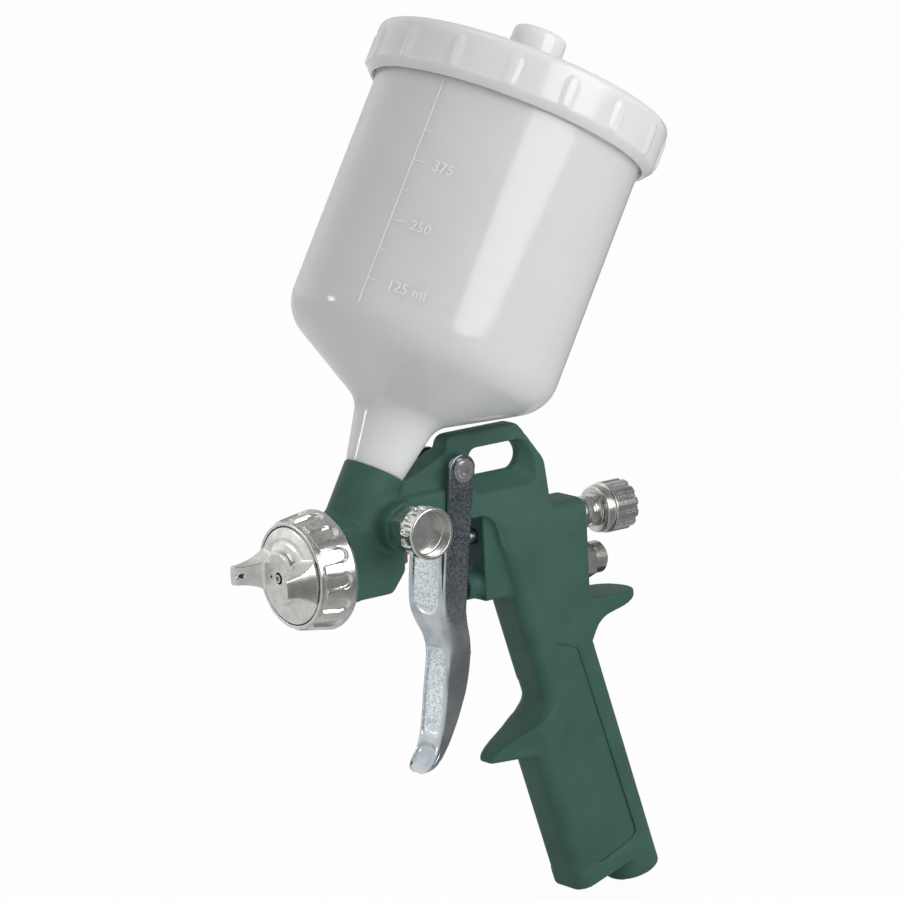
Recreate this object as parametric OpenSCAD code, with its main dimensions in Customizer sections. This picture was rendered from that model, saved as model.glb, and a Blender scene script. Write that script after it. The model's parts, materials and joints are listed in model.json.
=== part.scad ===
// Gravity-feed paint spray gun with a screw-on cup, a pressed trigger, and fan and fluid controls.
// Sizes are in millimetres. X runs forward along the spray, Y to the gun's left and Z up. The pieces are
// drawn from the front edge of the cap ring on the spray axis, and place() moves them so that the origin
// is the middle of the hanging slot's top edge.

/* [Spray head] */
// Front radius of the cap ring
ring_front_r = 17.7; // [17.4:0.1:20]
// Rear radius of the cap ring
ring_rear_r = 19.4; // [18.8:0.1:22]
// Length of the cap ring
ring_len = 13; // [12:0.5:16]
// Number of finger recesses round the cap ring
ring_recesses = 14; // [8:1:18]
// Width of a finger recess
ring_recess_w = 5; // [3:0.5:6]
// Depth of a finger recess
ring_recess_depth = 0.9; // [0.4:0.1:1.2]
// Plain rim behind the finger recesses
ring_rim = 2.6; // [1.5:0.1:4]
// Radius of the ring's inner lip
lip_r = 15.95; // [15.2:0.05:16.2]
// Length of the ring's inner lip
lip_len = 1.8; // [1.4:0.1:2.4]
// Radius of the thread that carries the ring
ring_thread_r = 16.8; // [16.6:0.1:17]
// Height of the air cap's front face above the ring
cap_face = 4.5; // [3.5:0.1:6]
// Radius of the air cap's front face
cap_face_r = 8.4; // [7:0.1:9.5]
// Reach of the air cap's horns in front of the ring
horn_reach = 12.1; // [10:0.1:14]
// Distance of a horn's outer face from the spray axis
horn_out = 15.6; // [14:0.1:15.6]
// Thickness of a horn at its tip
horn_tip = 2.6; // [2:0.1:4]
// Height of a horn at its tip
horn_h = 6; // [4:0.5:8]
// Radius of the holes in the horns
horn_hole_r = 0.7; // [0.4:0.1:1]
// Radius of the nozzle's orifice
orifice_r = 0.7; // [0.5:0.05:1]
// Radius of the nozzle's tip
nozzle_tip_r = 1.4; // [1.2:0.1:1.7]
// Radius of the nozzle's threaded shank
nozzle_shank_r = 6; // [5.5:0.1:6.5]
// Half width of the head block
head_half = 10.4; // [9.5:0.1:12]
// Height of the head block's top over the spray axis
head_top = 13.6; // [12:0.2:15]
// Depth of the head block's underside below the spray axis
head_under = 10.4; // [9:0.2:12]
// Distance of the head block's rear face behind the ring's front edge
head_rear = 38.4; // [36:0.2:42]

/* [Cup and lid] */
// Backward lean of the cup
cup_lean = 30; // [24:1:34]
// Where the cup's axis crosses the spray axis, behind the ring's front edge
cup_foot = 18.6; // [17:0.2:21]
// Outer radius of the cup
cup_r = 45; // [40:0.5:48]
// Wall of the cup
cup_wall = 1.8; // [1.4:0.1:2.6]
// Height of the cup's mouth above its foot on the port
cup_h = 133; // [110:1:150]
// Height of the cup's neck
neck_h = 19.5; // [17:0.5:24]
// Radius of the neck where it sits on the port
neck_foot_r = 9.6; // [9:0.1:10]
// Radius of the neck where it opens into the funnel
neck_top_r = 13.6; // [12:0.1:16]
// Height of the funnel between the neck and the straight wall
funnel_h = 18.6; // [15:0.2:24]
// Radius of the cup's threaded spigot
spigot_r = 7; // [6.5:0.1:7.5]
// Radius of the passage through the neck
neck_bore_r = 5.2; // [4.5:0.1:5.6]
// Length of the cup's threaded spigot
spigot_len = 8; // [7:0.5:9]
// Height of the cup's thread band at its mouth
band_h = 11; // [8:0.5:14]
// Thickness of the cup's thread band over the wall
band_step = 1; // [0.6:0.1:1.6]
// Outer radius of the lid
lid_r = 50.1; // [48:0.1:54]
// Distance from the lid's outside in to the cup's thread band
lid_wall = 4.1; // [3.4:0.1:4.6]
// Height of the lid
lid_h = 17; // [15:0.5:20]
// Thickness of the lid's top
lid_top = 2; // [1.5:0.1:3]
// Radius of the lid's rounded top edge
lid_edge = 3.6; // [2:0.2:4.5]
// Number of grip ribs round the lid
lid_ribs = 16; // [8:1:24]
// Radius of the vent cap
vent_r = 9.4; // [8:0.1:11]
// Height of the vent cap
vent_h = 8.6; // [7:0.2:11]

/* [Port, bridge and hook] */
// Length of the cup port along the cup's axis
port_len = 32.5; // [30:0.5:36]
// Radius of the cup port
port_r = 9.9; // [9.6:0.1:10.5]
// Half width of the bridge and the pivot's bosses
bridge_half = 8.2; // [7.6:0.1:8.6]
// Height of the bridge's shoulder over the spray axis
bridge_top = 19.4; // [18:0.2:21]
// Half width of the hook at its top
hook_half = 3.2; // [2.8:0.1:3.8]
// Lean of the hook's faces towards its top
hook_draft = 10; // [9:0.2:12]
// Bevel of the hook's top edges
hook_edge = 0.8; // [0.4:0.1:1.4]
// Height of the hook's top over the spray axis
hook_top = 35.4; // [34.6:0.2:38]
// Distance of the hook's rear edge behind the ring's front edge
hook_rear = 99.6; // [99:0.2:104]
// Height of the bridge's underside over the spray axis
arch_z = 8; // [6.8:0.2:9]
// Width of the hanging slot
slot_h = 9.5; // [8:0.1:11]
// Length of the hanging slot
slot_len = 19.4; // [16:0.2:20]
// Height of the hanging slot's top edge over the spray axis
slot_top = 29.6; // [29:0.2:30.6]
// Distance of the hanging slot's front end behind the ring's front edge
slot_front = 72.4; // [71.6:0.2:73]
// Flare of the hanging slot's mouth below and behind
slot_flare = 5.6; // [1:0.2:6]

/* [Handle] */
// Backward lean of the handle
grip_lean = 16.7; // [12:0.1:20]
// Where the handle's axis crosses the spray axis, behind the ring's front edge
grip_x = 95.8; // [94:0.2:98]
// Length of the handle's axis below the spray axis
grip_len = 130.9; // [120:0.5:145]
// Radius of the handle's back, which is also the air inlet boss
grip_r = 9.3; // [9.2:0.1:10]
// Reach of the handle's upper front from its axis
grip_front = 18.2; // [16:0.2:20]
// Reach of the handle's lower front from its axis
grip_lower_front = 25.6; // [22:0.2:28]
// Rounding of the handle's front corners
grip_corner = 5; // [3:0.2:6]
// Length of the air inlet boss below the handle
inlet_boss = 8.9; // [6:0.2:12]
// Tapping radius of the G1/4 air inlet
inlet_r = 5.72; // [5.6:0.01:5.8]
// Depth of the air inlet's thread
inlet_depth = 12; // [10:0.5:16]
// Height of the rear body's top over the spray axis
body_top = 7; // [6.8:0.1:8]
// Distance of the body's rear face behind the ring's front edge
body_rear = 113.4; // [112:0.2:118]
// Distance of the body's front wall behind the ring's front edge
wall_front = 72.6; // [72:0.1:74]
// Reach of the hand spur behind the body
spur_reach = 25; // [18:0.5:30]
// Depth of the hand spur's top below the spray axis
spur_z = 26.8; // [26:0.2:30]
// Depth of the finger stop below the spray axis
stop_z = 72.6; // [70:0.2:76]
// Reach of the finger stop's tip, behind the ring's front edge
stop_tip = 75; // [74:0.2:80]
// Depth of the recessed panel on the handle's side
panel_depth = 0.5; // [0.3:0.1:0.8]

/* [Trigger] */
// Distance of the trigger's pivot behind the ring's front edge
pivot_x = 62.6; // [61.5:0.1:63.5]
// Height of the trigger's pivot over the spray axis
pivot_z = 25; // [24:0.1:26]
// Radius of the trigger's arms round the pivot
arm_r = 5.1; // [4.8:0.1:5.6]
// Thickness of the trigger's sheet
sheet = 1.5; // [1.2:0.1:1.8]
// Gap between a trigger arm and the hook
arm_gap = 0.4; // [0.3:0.05:0.6]
// Radius of the pivot sleeve
pivot_r = 2.4; // [2:0.05:2.6]
// Depth of the trigger's tip below the spray axis
trigger_tip = 73.5; // [70:0.5:80]
// Half width of the trigger where the finger pulls
finger_half = 6.8; // [6:0.1:8]

/* [Needle and fluid knob] */
// Radius of the fluid needle
needle_r = 1.5; // [1.2:0.05:1.8]
// Radius of the needle's rear shank
shank_r = 2.6; // [2.3:0.05:2.8]
// Radius of the needle's pull collar
collar_r = 4; // [3.6:0.1:4.2]
// Radius of the packing bore
packing_r = 4; // [3.6:0.1:4.4]
// Radius of the threaded needle sleeve
sleeve_r = 5.4; // [5.2:0.05:5.6]
// Bore radius of the needle sleeve
sleeve_bore_r = 4.6; // [4.4:0.05:4.7]
// Length of sleeve that shows between the body and the fluid knob
sleeve_show = 10.3; // [8:0.1:12]
// Length of the fluid knob
fluid_knob_len = 16.5; // [14:0.5:20]
// Radius of the fluid knob
fluid_knob_r = 8.5; // [8:0.1:10]
// Number of flutes round the fluid knob
fluid_flutes = 12; // [8:1:16]

/* [Air valve] */
// Depth of the air valve's axis below the spray axis
valve_z = 16; // [15.4:0.1:16.6]
// Radius of the air valve's stem
stem_r = 2; // [1.7:0.05:2.2]
// Radius of the air valve's chamber
chamber_r = 5.5; // [5.2:0.1:5.8]
// Radius of the air valve's disc
disc_r = 5; // [4.6:0.1:5.1]
// Distance of the air valve's seat behind the ring's front edge
seat_x = 92; // [91:0.2:93]
// Width across the flats of the air valve's plug
plug_flats = 12.4; // [12:0.1:13]
// Length of the plug's round end
plug_end = 6.2; // [5:0.1:8]

/* [Fan control] */
// Distance of the fan control's axis behind the ring's front edge
fan_x = 34.4; // [33.5:0.1:35]
// Height of the fan control's axis over the spray axis
fan_z = 12; // [11.4:0.1:12.6]
// Radius of the fan control's boss on the head
fan_boss_r = 8.6; // [8:0.1:9.2]
// Width across the flats of the fan control's gland
fan_flats = 13; // [12:0.1:14]
// Height of the gland's hexagon
fan_hex_h = 6; // [5:0.1:7]
// Radius of the fan knob
fan_knob_r = 8.4; // [7.5:0.1:9.5]
// Length of the fan knob
fan_knob_len = 13; // [11:0.5:15]
// Number of grip recesses round the fan knob
fan_grips = 12; // [8:1:16]

/* [Fits] */
// Radial clearance of a piece that turns or slides in another
run_fit = 0.05; // [0.02:0.01:0.1]
// Radial clearance of a piece that stays in its seat
seat_fit = 0.03; // [0.01:0.01:0.05]
// Gap between two pieces that move apart
free_gap = 0.3; // [0.2:0.05:0.4]

/* [Hidden] */
$fn = 72;

green = [0.24, 0.36, 0.32];
plated = [0.72, 0.72, 0.70];
zinc = [0.62, 0.66, 0.68];
cup_white = [0.86, 0.87, 0.86];
steel = [0.6, 0.6, 0.62];
brass = [0.78, 0.66, 0.36];
rubber = [0.12, 0.12, 0.12];
seal_white = [0.9, 0.9, 0.88];

over = 0.5;
slot_mid_x = slot_front + slot_len / 2;
slot_rear = slot_front + slot_len;
slot_low = slot_top - slot_h;

// Lengths along the spray axis, each a distance behind the ring's front edge
head_face = 5.3;
head_front = ring_len + free_gap;
nozzle_rear = 16;
packing_front = 28;
packing_len = 3;
nut_front = packing_front + packing_len;
nut_hex = 4.6;
paint_r = packing_r + seat_fit;
guide_rear = 84;
sleeve_front = 104;
sleeve_end = body_rear + sleeve_show;
knob_floor = sleeve_end + 8.3;
arm_in = bridge_half + arm_gap;
arm_out = arm_in + sheet;
collar_front = pivot_x - 8.1 + sheet + free_gap + 0.1;
collar_len = 3;
shoulder_x = 90;
stem_front = pivot_x - 10 + sheet + free_gap;
valve_guide_rear = 77;
valve_packing_len = 3;
valve_throat_r = 3.6;
plug_front = 108;
washer_t = 0.8;
plug_hex = 4.8;
plug_rear = body_rear + washer_t + plug_hex + plug_end;
plug_floor = plug_rear - 4;
plug_bore_r = 4.4;

// Lengths along the cup's axis
gasket_h = 1.5;
spigot_end = port_len - spigot_len;
cup_mouth = port_len + cup_h;
lid_seal_h = 1.6;
lid_under = cup_mouth + lid_seal_h;
band_r = lid_r - lid_wall;
lid_skirt_r = band_r + free_gap;
cup_top_r = band_r - band_step;

// Puts the middle of the hanging slot's top edge at the origin
module place() { translate([slot_mid_x, 0, -slot_top]) children(); }

// A frame on the cup's axis, with Z along it
module at_cup() { translate([-cup_foot, 0, 0]) rotate([0, -cup_lean, 0]) children(); }

// A frame on the handle's axis, with Z up along it and X to its front
module at_grip() { translate([-grip_x, 0, 0]) rotate([0, grip_lean, 0]) children(); }

// A frame on the fan control's axis, with Z along it
module at_fan() { translate([-fan_x, 0, fan_z]) rotate([-90, 0, 0]) children(); }

// A frame on the trigger's pivot, with Z along it
module at_pivot() { translate([-pivot_x, 0, pivot_z]) rotate([-90, 0, 0]) children(); }

// A cylinder along X between two distances behind the ring's front edge
module rod(front, rear, r, z = 0, y = 0) {
    translate([-rear, y, z]) rotate([0, 90, 0]) cylinder(h = rear - front, r = r);
}

// A piece revolved round an axis along X, from points [radius, distance behind the ring's front edge]
module spun(points, z = 0) { translate([0, 0, z]) rotate([0, -90, 0]) rotate_extrude() polygon(points); }

// A ring along X
module washer(front, rear, inner, outer, z = 0) {
    spun([[inner, front], [outer, front], [outer, rear], [inner, rear]], z);
}

// A hexagonal bar along X
module hex_bar(front, rear, flats, z = 0) {
    translate([-rear, 0, z]) rotate([0, 90, 0]) cylinder(h = rear - front, r = flats / 2 / cos(30), $fn = 6);
}

function unit(v) = v / norm(v);

// The arc that rounds corner b = [x, z, radius] between its neighbours a and c
function corner(a, b, c, n) =
    b[2] == 0 ? [[b[0], b[1]]] :
    let (p = [b[0], b[1]], u = unit([a[0], a[1]] - p), v = unit([c[0], c[1]] - p),
        half = acos(max(-1, min(1, u * v))) / 2,
        m = p + unit(u + v) * b[2] / sin(half), s = p + u * b[2] / tan(half) - m,
        e = p + v * b[2] / tan(half) - m, a0 = atan2(s[1], s[0]), d = atan2(e[1], e[0]) - a0,
        turn = d > 180 ? d - 360 : d < -180 ? d + 360 : d)
    [for (i = [0 : n]) m + b[2] * [cos(a0 + turn * i / n), sin(a0 + turn * i / n)]];

// An outline with rounded corners, from points [x, z, radius]
function rounded(p, n = 6) =
    [for (i = [0 : len(p) - 1]) each corner(p[(i + len(p) - 1) % len(p)], p[i], p[(i + 1) % len(p)], n)];

// An anticlockwise outline drawn in by d
function inset(p, d) =
    [for (i = [0 : len(p) - 1])
        let (a = p[(i + len(p) - 1) % len(p)], b = p[i], c = p[(i + 1) % len(p)],
            u = unit(b - a), v = unit(c - b), n1 = [-u[1], u[0]], n2 = [-v[1], v[0]])
        b + d * (n1 + n2) / (1 + n1 * n2)];

function cross2(u, v) = u[0] * v[1] - u[1] * v[0];
function inside(p, a, b, c) =
    cross2(b - a, p - a) >= 0 && cross2(c - b, p - b) >= 0 && cross2(a - c, p - c) >= 0;

// Whether corner i of the outline p, with the corners q left, can be cut off as a triangle
function is_ear(p, q, i) =
    let (n = len(q), a = p[q[(i + n - 1) % n]], b = p[q[i]], c = p[q[(i + 1) % n]])
    cross2(b - a, c - b) > 0.000001 &&
    len([for (j = q) if (p[j] != a && p[j] != b && p[j] != c && inside(p[j], a, b, c)) j]) == 0;
function first_ear(p, q, i = 0) = is_ear(p, q, i) ? i : first_ear(p, q, i + 1);

// The triangles that fill an anticlockwise outline, hollow corners included
function fill(p, q) =
    let (n = len(q))
    n == 3 ? [q] :
    let (i = first_ear(p, q))
    concat([[q[(i + n - 1) % n], q[i], q[(i + 1) % n]]], fill(p, [for (j = [0 : n - 1]) if (j != i) q[j]]));

// A solid skinned over rings of equal count, each end closed by the same faces
module skin(rings, ends = []) {
    n = len(rings[0]);
    m = len(rings);
    caps = len(ends) > 0 ? ends : [[for (j = [0 : n - 1]) j]];
    polyhedron(
        points = [for (r = rings) each r],
        faces = [
            for (c = caps) [for (k = [len(c) - 1 : -1 : 0]) c[k]],
            for (i = [0 : m - 2]) for (j = [0 : n - 1]) each
                [[i * n + j, i * n + (j + 1) % n, (i + 1) * n + (j + 1) % n],
                 [i * n + j, (i + 1) * n + (j + 1) % n, (i + 1) * n + j]],
            for (c = caps) [for (k = c) (m - 1) * n + k]]);
}

// A plate across Y from an anticlockwise outline in X and Z, with rounded edges
module rounded_plate(outline, half, edge, steps = 3) {
    side = [for (i = [0 : steps])
        [-half + edge * (1 - cos(90 * i / steps)), edge * (1 - sin(90 * i / steps))]];
    both = concat(side, [for (i = [steps : -1 : 0]) [-side[i][0], side[i][1]]]);
    flat = inset(outline, edge);
    skin([for (l = both) [for (p = inset(outline, l[1])) [p[0], l[0], p[1]]]],
        fill(flat, [for (i = [0 : len(flat) - 1]) i]));
}

// A flat plate across Y from an outline in X and Z
module plate(outline, half) { rotate([90, 0, 0]) linear_extrude(2 * half, center = true) polygon(outline); }

// An anticlockwise slot outline with round ends, lying along X
function stadium(x0, x1, z0, z1, n = 8) =
    let (r = (z1 - z0) / 2, z = (z0 + z1) / 2)
    concat([for (i = [0 : n]) [x1 - r, z] + r * [sin(180 * i / n), -cos(180 * i / n)]],
        [for (i = [0 : n]) [x0 + r, z] + r * [-sin(180 * i / n), cos(180 * i / n)]]);

// A coil of round wire along X, as one tube of 6 sides with 8 rings in each turn
module coil(front, rear, r, wire, turns, z = 0) {
    rings = turns * 8;
    run = rear - front - 2 * wire;
    rise = atan2(run / turns, 2 * PI * r);
    echo(least_gap_in_coil = run / turns - 2 * wire);
    translate([0, 0, z]) skin([for (i = [0 : rings])
        let (a = 360 * i / 8, out = [0, cos(a), sin(a)],
            side = [cos(rise), -sin(rise) * sin(a), sin(rise) * cos(a)])
        [for (k = [0 : 5]) [-front - wire - run * i / rings, 0, 0] + r * out
            + wire * (cos(60 * k) * out + sin(60 * k) * side)]]);
}

// The bridge from the head to the pivot, with the pivot's post
bridge_outline = rounded([
    [-pivot_x - 4, arch_z, 2], [-head_rear - 5, arch_z, 4], [-head_rear + 4, 4, 0], [-fan_x + 8, 4, 0],
    [-fan_x + 8, bridge_top, 0], [-pivot_x + 4.2, bridge_top, 2], [-pivot_x + 4.2, pivot_z, 0],
    [-pivot_x - 4, pivot_z, 0]]);

// The web from the cup's port over the bridge, rising to the hook
hook_outline = rounded([
    [-wall_front - 6, -4, 0], [-wall_front - 2.6, arch_z, 6.4],
    [-head_rear - 5, arch_z, 4], [-head_rear + 4, 4, 0], [-fan_x + 8, 4, 0], [-fan_x + 8, head_top + 7, 0],
    [-head_rear - 7, pivot_z - 0.1, 6], [-pivot_x + 1.8, pivot_z + 5.2, 2.4], [-pivot_x + 0.8, hook_top, 3.4],
    [-hook_rear + 9, hook_top, 4], [-hook_rear, hook_top - 13.5, 6], [-hook_rear, -4, 0]]);

// The cross-section of the hook, leaning in from the bridge's width to the top
module hook_taper() {
    foot = hook_top - (bridge_half - hook_half) / tan(hook_draft);
    half = [[bridge_half, -10], [bridge_half, foot],
        [hook_half + hook_edge * tan(hook_draft), hook_top - hook_edge], [hook_half - hook_edge, hook_top]];
    translate([-hook_rear - 5, 0, 0]) rotate([90, 0, 90]) linear_extrude(hook_rear)
        polygon(concat(half, [for (i = [len(half) - 1 : -1 : 0]) [-half[i][0], half[i][1]]]));
}

// One mouth of the hanging slot, flaring from the web to the hook's face
slot_land = 1.2;
module slot_mouth() {
    throat = stadium(-slot_rear, -slot_front, slot_low, slot_top);
    mouth = stadium(-slot_rear - slot_flare, -slot_front + 0.4, slot_low - slot_flare, slot_top + 0.4);
    reach = bridge_half - 1.2;
    skin([[for (p = mouth) [p[0], -reach - 2, p[1]]], [for (p = mouth) [p[0], -reach, p[1]]],
        [for (p = throat) [p[0], -slot_land, p[1]]]]);
}

// The handle's cross-section, round at the back and rounded at the front
module grip_section(front) {
    circle(grip_r);
    translate([0, -grip_r]) square([front - grip_corner, 2 * grip_r]);
    translate([0, -grip_r + grip_corner]) square([front, 2 * (grip_r - grip_corner)]);
    for (s = [-1, 1]) translate([front - grip_corner, s * (grip_r - grip_corner)]) circle(grip_corner);
}

grip_end = grip_len - inlet_boss;
stop_u = stop_z / cos(grip_lean);

// The rear body and the upper handle under one rounded top
top_corner = 4.6;
module upper_handle() {
    intersection() {
        union() {
            at_grip() translate([0, 0, -stop_u - 6]) linear_extrude(stop_u + 24) grip_section(grip_front);
            translate([-body_rear, -grip_r, -spur_z - 3])
                cube([body_rear - grip_x + 2, 2 * grip_r, spur_z + 20]);
        }
        translate([-body_rear, 0, 0]) rotate([90, 0, 90]) translate([0, 0, -20]) linear_extrude(80) {
            translate([-grip_r - 1, -200]) square([2 * grip_r + 2, 200]);
            translate([-grip_r, -over]) square([2 * grip_r, body_top - top_corner + over]);
            translate([-grip_r + top_corner, -over]) square([2 * (grip_r - top_corner), body_top + over]);
            for (s = [-1, 1]) translate([s * (grip_r - top_corner), body_top - top_corner]) circle(top_corner);
        }
    }
}

// The lower handle with the air inlet's boss
module lower_handle() {
    at_grip() translate([0, 0, -grip_end]) linear_extrude(grip_end - stop_u) grip_section(grip_lower_front);
    at_grip() translate([0, 0, -grip_len]) cylinder(h = inlet_boss + over, r = grip_r);
}

// The narrow wall in front of the rear body, with the air valve's guide boss
wall_half = 6;
guide_front = wall_front - 5;
module front_wall() {
    translate([-wall_front - 14, -wall_half, -valve_z - 5])
        cube([14, 2 * wall_half, valve_z + 5 + arch_z + 4]);
    rod(guide_front, wall_front + 2, 4.6, -valve_z);
}

// The hand spur, rounded at its tip
module spur() {
    tip = body_rear + spur_reach;
    intersection() {
        plate(rounded([[-body_rear + 6, -spur_z, 0], [-tip, -spur_z - 1.4, 0.8], [-tip, -spur_z - 3, 0.7],
            [-body_rear - 4, -spur_z - 7.6, 9], [-body_rear + 2, -spur_z - 19, 0],
            [-body_rear + 6, -spur_z - 19, 0]]), grip_r);
        translate([0, 0, -spur_z - 30]) linear_extrude(40) {
            translate([-tip + grip_r, 0]) circle(grip_r);
            translate([-tip + grip_r, -grip_r]) square([spur_reach + 10, 2 * grip_r]);
        }
    }
}

// The finger stop, narrowing to its tip
module finger_stop() {
    intersection() {
        plate(rounded([[-grip_x - 6, -stop_z - 8, 0], [-stop_tip - 3, -stop_z - 4.4, 0],
            [-stop_tip, -stop_z - 3.6, 1.6], [-stop_tip, -stop_z, 1.4], [-stop_tip - 14.5, -stop_z + 4.6, 7],
            [-grip_x + 2.4, -stop_z + 16, 0], [-grip_x - 6, -stop_z + 16, 0]]), grip_r);
        translate([0, 0, -stop_z - 40]) linear_extrude(80) polygon(rounded([
            [-stop_tip, -4.6, 3], [-stop_tip, 4.6, 3], [-grip_x + 8, 6.2, 12], [-grip_x + 1, grip_r, 0],
            [-grip_x - 10, grip_r, 0], [-grip_x - 10, -grip_r, 0], [-grip_x + 1, -grip_r, 0],
            [-grip_x + 8, -6.2, 12]]));
    }
}

// The head block behind the ring, with its thread and the cup's port
module head_block() {
    rounded_plate(rounded([[-head_front, head_top, 0], [-head_rear + 7, head_top, 3],
        [-head_rear, head_top - 3, 2.4], [-head_rear, -head_under + 6.6, 3],
        [-head_rear + 5.4, -head_under, 3], [-head_front, -head_under, 0]]), head_half, 1.6);
    rod(head_face, head_front + over, ring_thread_r);
    rod(head_front, head_front + 6, ring_rear_r - 2);
    at_cup() cylinder(h = port_len, r = port_r);
}

// The recessed panel on one side of the handle
module panel_recess() {
    at_grip() translate([0, grip_r - panel_depth, 0]) rotate([-90, 0, 0]) linear_extrude(4) polygon(rounded([
        [0.2, 44, 2], [0.2, grip_end - 4, 3.4], [grip_lower_front + 4, grip_end - 4, 0],
        [grip_lower_front + 4, 36, 0], [11.3, 36, 3]]));
}

// The fan control's gland starts beside the cup's spigot, and its seat lies behind the paint passage
fan_face = head_half + 0.1;
fan_floor = spigot_r;
fan_seat = -0.5;
fan_chamber_r = 3.2;
gland_r = 5;
// The air passage to the fan control, and the one from its seat to the horns
passage_r = 1.8;
passage_y = 4.6;
passage_z = 12.4;
horn_air_r = 1.2;
horn_air_y = -6.4;
horn_air_z = head_top - 2.8;

// The bores of the spray head, the cup's port and the fan control
module head_bores() {
    rod(head_face - over, nozzle_rear, nozzle_shank_r + seat_fit);
    rod(nozzle_rear - over, head_rear + over, paint_r);
    at_cup() cylinder(h = spigot_end, r = paint_r);
    at_cup() translate([0, 0, spigot_end - gasket_h])
        cylinder(h = spigot_len + gasket_h + over, r = spigot_r + seat_fit);
    at_fan() translate([0, 0, fan_floor]) cylinder(h = 20, r = gland_r + seat_fit);
    at_fan() translate([0, 0, fan_seat]) cylinder(h = fan_floor - fan_seat + over, r = fan_chamber_r);
    at_fan() translate([0, 0, horn_air_y - horn_air_r])
        cylinder(h = fan_seat - horn_air_y + horn_air_r + over, r = spindle_r - 0.8);
    rod(fan_x - 1, pivot_x + passage_r + 16.4, passage_r, passage_z, passage_y);
    rod(head_face - over, fan_x, horn_air_r, horn_air_z, horn_air_y);
    for (a = [45 : 45 : 360]) rotate([a, 0, 0]) rod(head_face - over, head_face + 6, 1.2, 11.6);
}

// The bores of the needle, the air valve, the pivot and the handle
module body_bores() {
    rod(wall_front - over, guide_rear + over, shank_r + run_fit);
    rod(guide_rear, sleeve_front + over, sleeve_bore_r);
    rod(sleeve_front, body_rear + over, sleeve_r + seat_fit);
    rod(guide_front - over, valve_guide_rear + over, stem_r + run_fit, -valve_z);
    rod(valve_guide_rear, seat_x + over, valve_throat_r, -valve_z);
    rod(seat_x, body_rear + over, chamber_r, -valve_z);
    translate([-pivot_x - 16.4, passage_y, -valve_z]) cylinder(h = valve_z + passage_z, r = passage_r);
    at_pivot() cylinder(h = 40, r = pivot_r + seat_fit, center = true);
    at_grip() translate([0, 0, -grip_len]) cylinder(h = grip_len - valve_z / cos(grip_lean), r = 4.5);
    at_grip() translate([0, 0, -grip_len - over]) cylinder(h = inlet_depth + over, r = inlet_r);
}

module gun_body() {
    color(green) place() difference() {
        union() {
            head_block();
            at_fan() cylinder(h = fan_face, r = fan_boss_r);
            rounded_plate(bridge_outline, bridge_half, 1.4);
            at_pivot() cylinder(h = 2 * bridge_half, r = arm_r - 0.6, center = true);
            difference() {
                intersection() {
                    plate(hook_outline, bridge_half + 1);
                    hook_taper();
                }
                plate(stadium(-slot_rear, -slot_front, slot_low, slot_top), bridge_half + 1);
                slot_mouth();
                mirror([0, 1, 0]) slot_mouth();
            }
            upper_handle();
            lower_handle();
            front_wall();
            spur();
            finger_stop();
        }
        head_bores();
        body_bores();
        panel_recess();
        mirror([0, 1, 0]) panel_recess();
    }
}

// Cup, lid and their seals

module paint_cup() {
    funnel = port_len + neck_h;
    color(cup_white) place() at_cup() rotate_extrude() polygon(rounded([
        [spigot_r, spigot_end, 0], [spigot_r, port_len, 0], [neck_foot_r, port_len, 0],
        [neck_top_r, funnel, 9], [cup_r, funnel + funnel_h, 14], [cup_top_r, cup_mouth - band_h, 0],
        [band_r, cup_mouth - band_h, 0], [band_r, cup_mouth - 1, 0], [cup_top_r, cup_mouth, 0],
        [cup_top_r - cup_wall, cup_mouth, 0], [cup_r - cup_wall, funnel + funnel_h + 1, 12.2],
        [neck_top_r - cup_wall, funnel + 1.4, 9], [neck_bore_r, port_len + 1, 0],
        [neck_bore_r, spigot_end, 0]], 5));
}

module cup_gasket() {
    color(seal_white) place() at_cup() translate([0, 0, spigot_end - gasket_h]) difference() {
        cylinder(h = gasket_h, r = spigot_r);
        translate([0, 0, -over]) cylinder(h = gasket_h + 2 * over, r = neck_bore_r);
    }
}

vent_nipple_r = 5.6;
vent_nipple_h = 5;
rib_w = 3.2;
rib_step = 0.6;

module cup_lid() {
    bottom = lid_under + lid_top - lid_h;
    top = lid_under + lid_top;
    color(cup_white) place() at_cup() {
        rotate_extrude() polygon(rounded([
            [lid_skirt_r, bottom, 0], [lid_skirt_r + 0.8, bottom, 0], [lid_r, bottom + 2.8, 0],
            [lid_r, top, lid_edge], [vent_nipple_r, top, 0], [vent_nipple_r, top + vent_nipple_h, 0],
            [1.2, top + vent_nipple_h, 0],
            [1.2, lid_under, 0], [lid_skirt_r, lid_under, 0]]));
        for (i = [0 : lid_ribs - 1]) rotate([0, 0, 360 * (i + 0.5) / lid_ribs])
            translate([lid_r - 1, -rib_w / 2, bottom + 3.4])
                cube([1 + rib_step, rib_w, lid_h - 3.6 - lid_edge]);
    }
}

module lid_seal() {
    color(seal_white) place() at_cup() translate([0, 0, cup_mouth + 0.1]) difference() {
        cylinder(h = lid_seal_h - 0.1, r = band_r);
        translate([0, 0, -over]) cylinder(h = lid_seal_h + 2 * over, r = cup_top_r - cup_wall - 1.4);
    }
}

module vent_cap() {
    top = lid_under + lid_top;
    color(cup_white) place() at_cup() translate([0, 0, top]) rotate_extrude() polygon(rounded([
        [vent_nipple_r + seat_fit, 0, 0], [vent_r, 0, 0], [vent_r - 0.6, vent_h, 2], [0, vent_h, 0],
        [0, vent_nipple_h + 0.6, 0], [vent_nipple_r + seat_fit, vent_nipple_h + 0.6, 0]]));
}

// Spray head pieces

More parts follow.
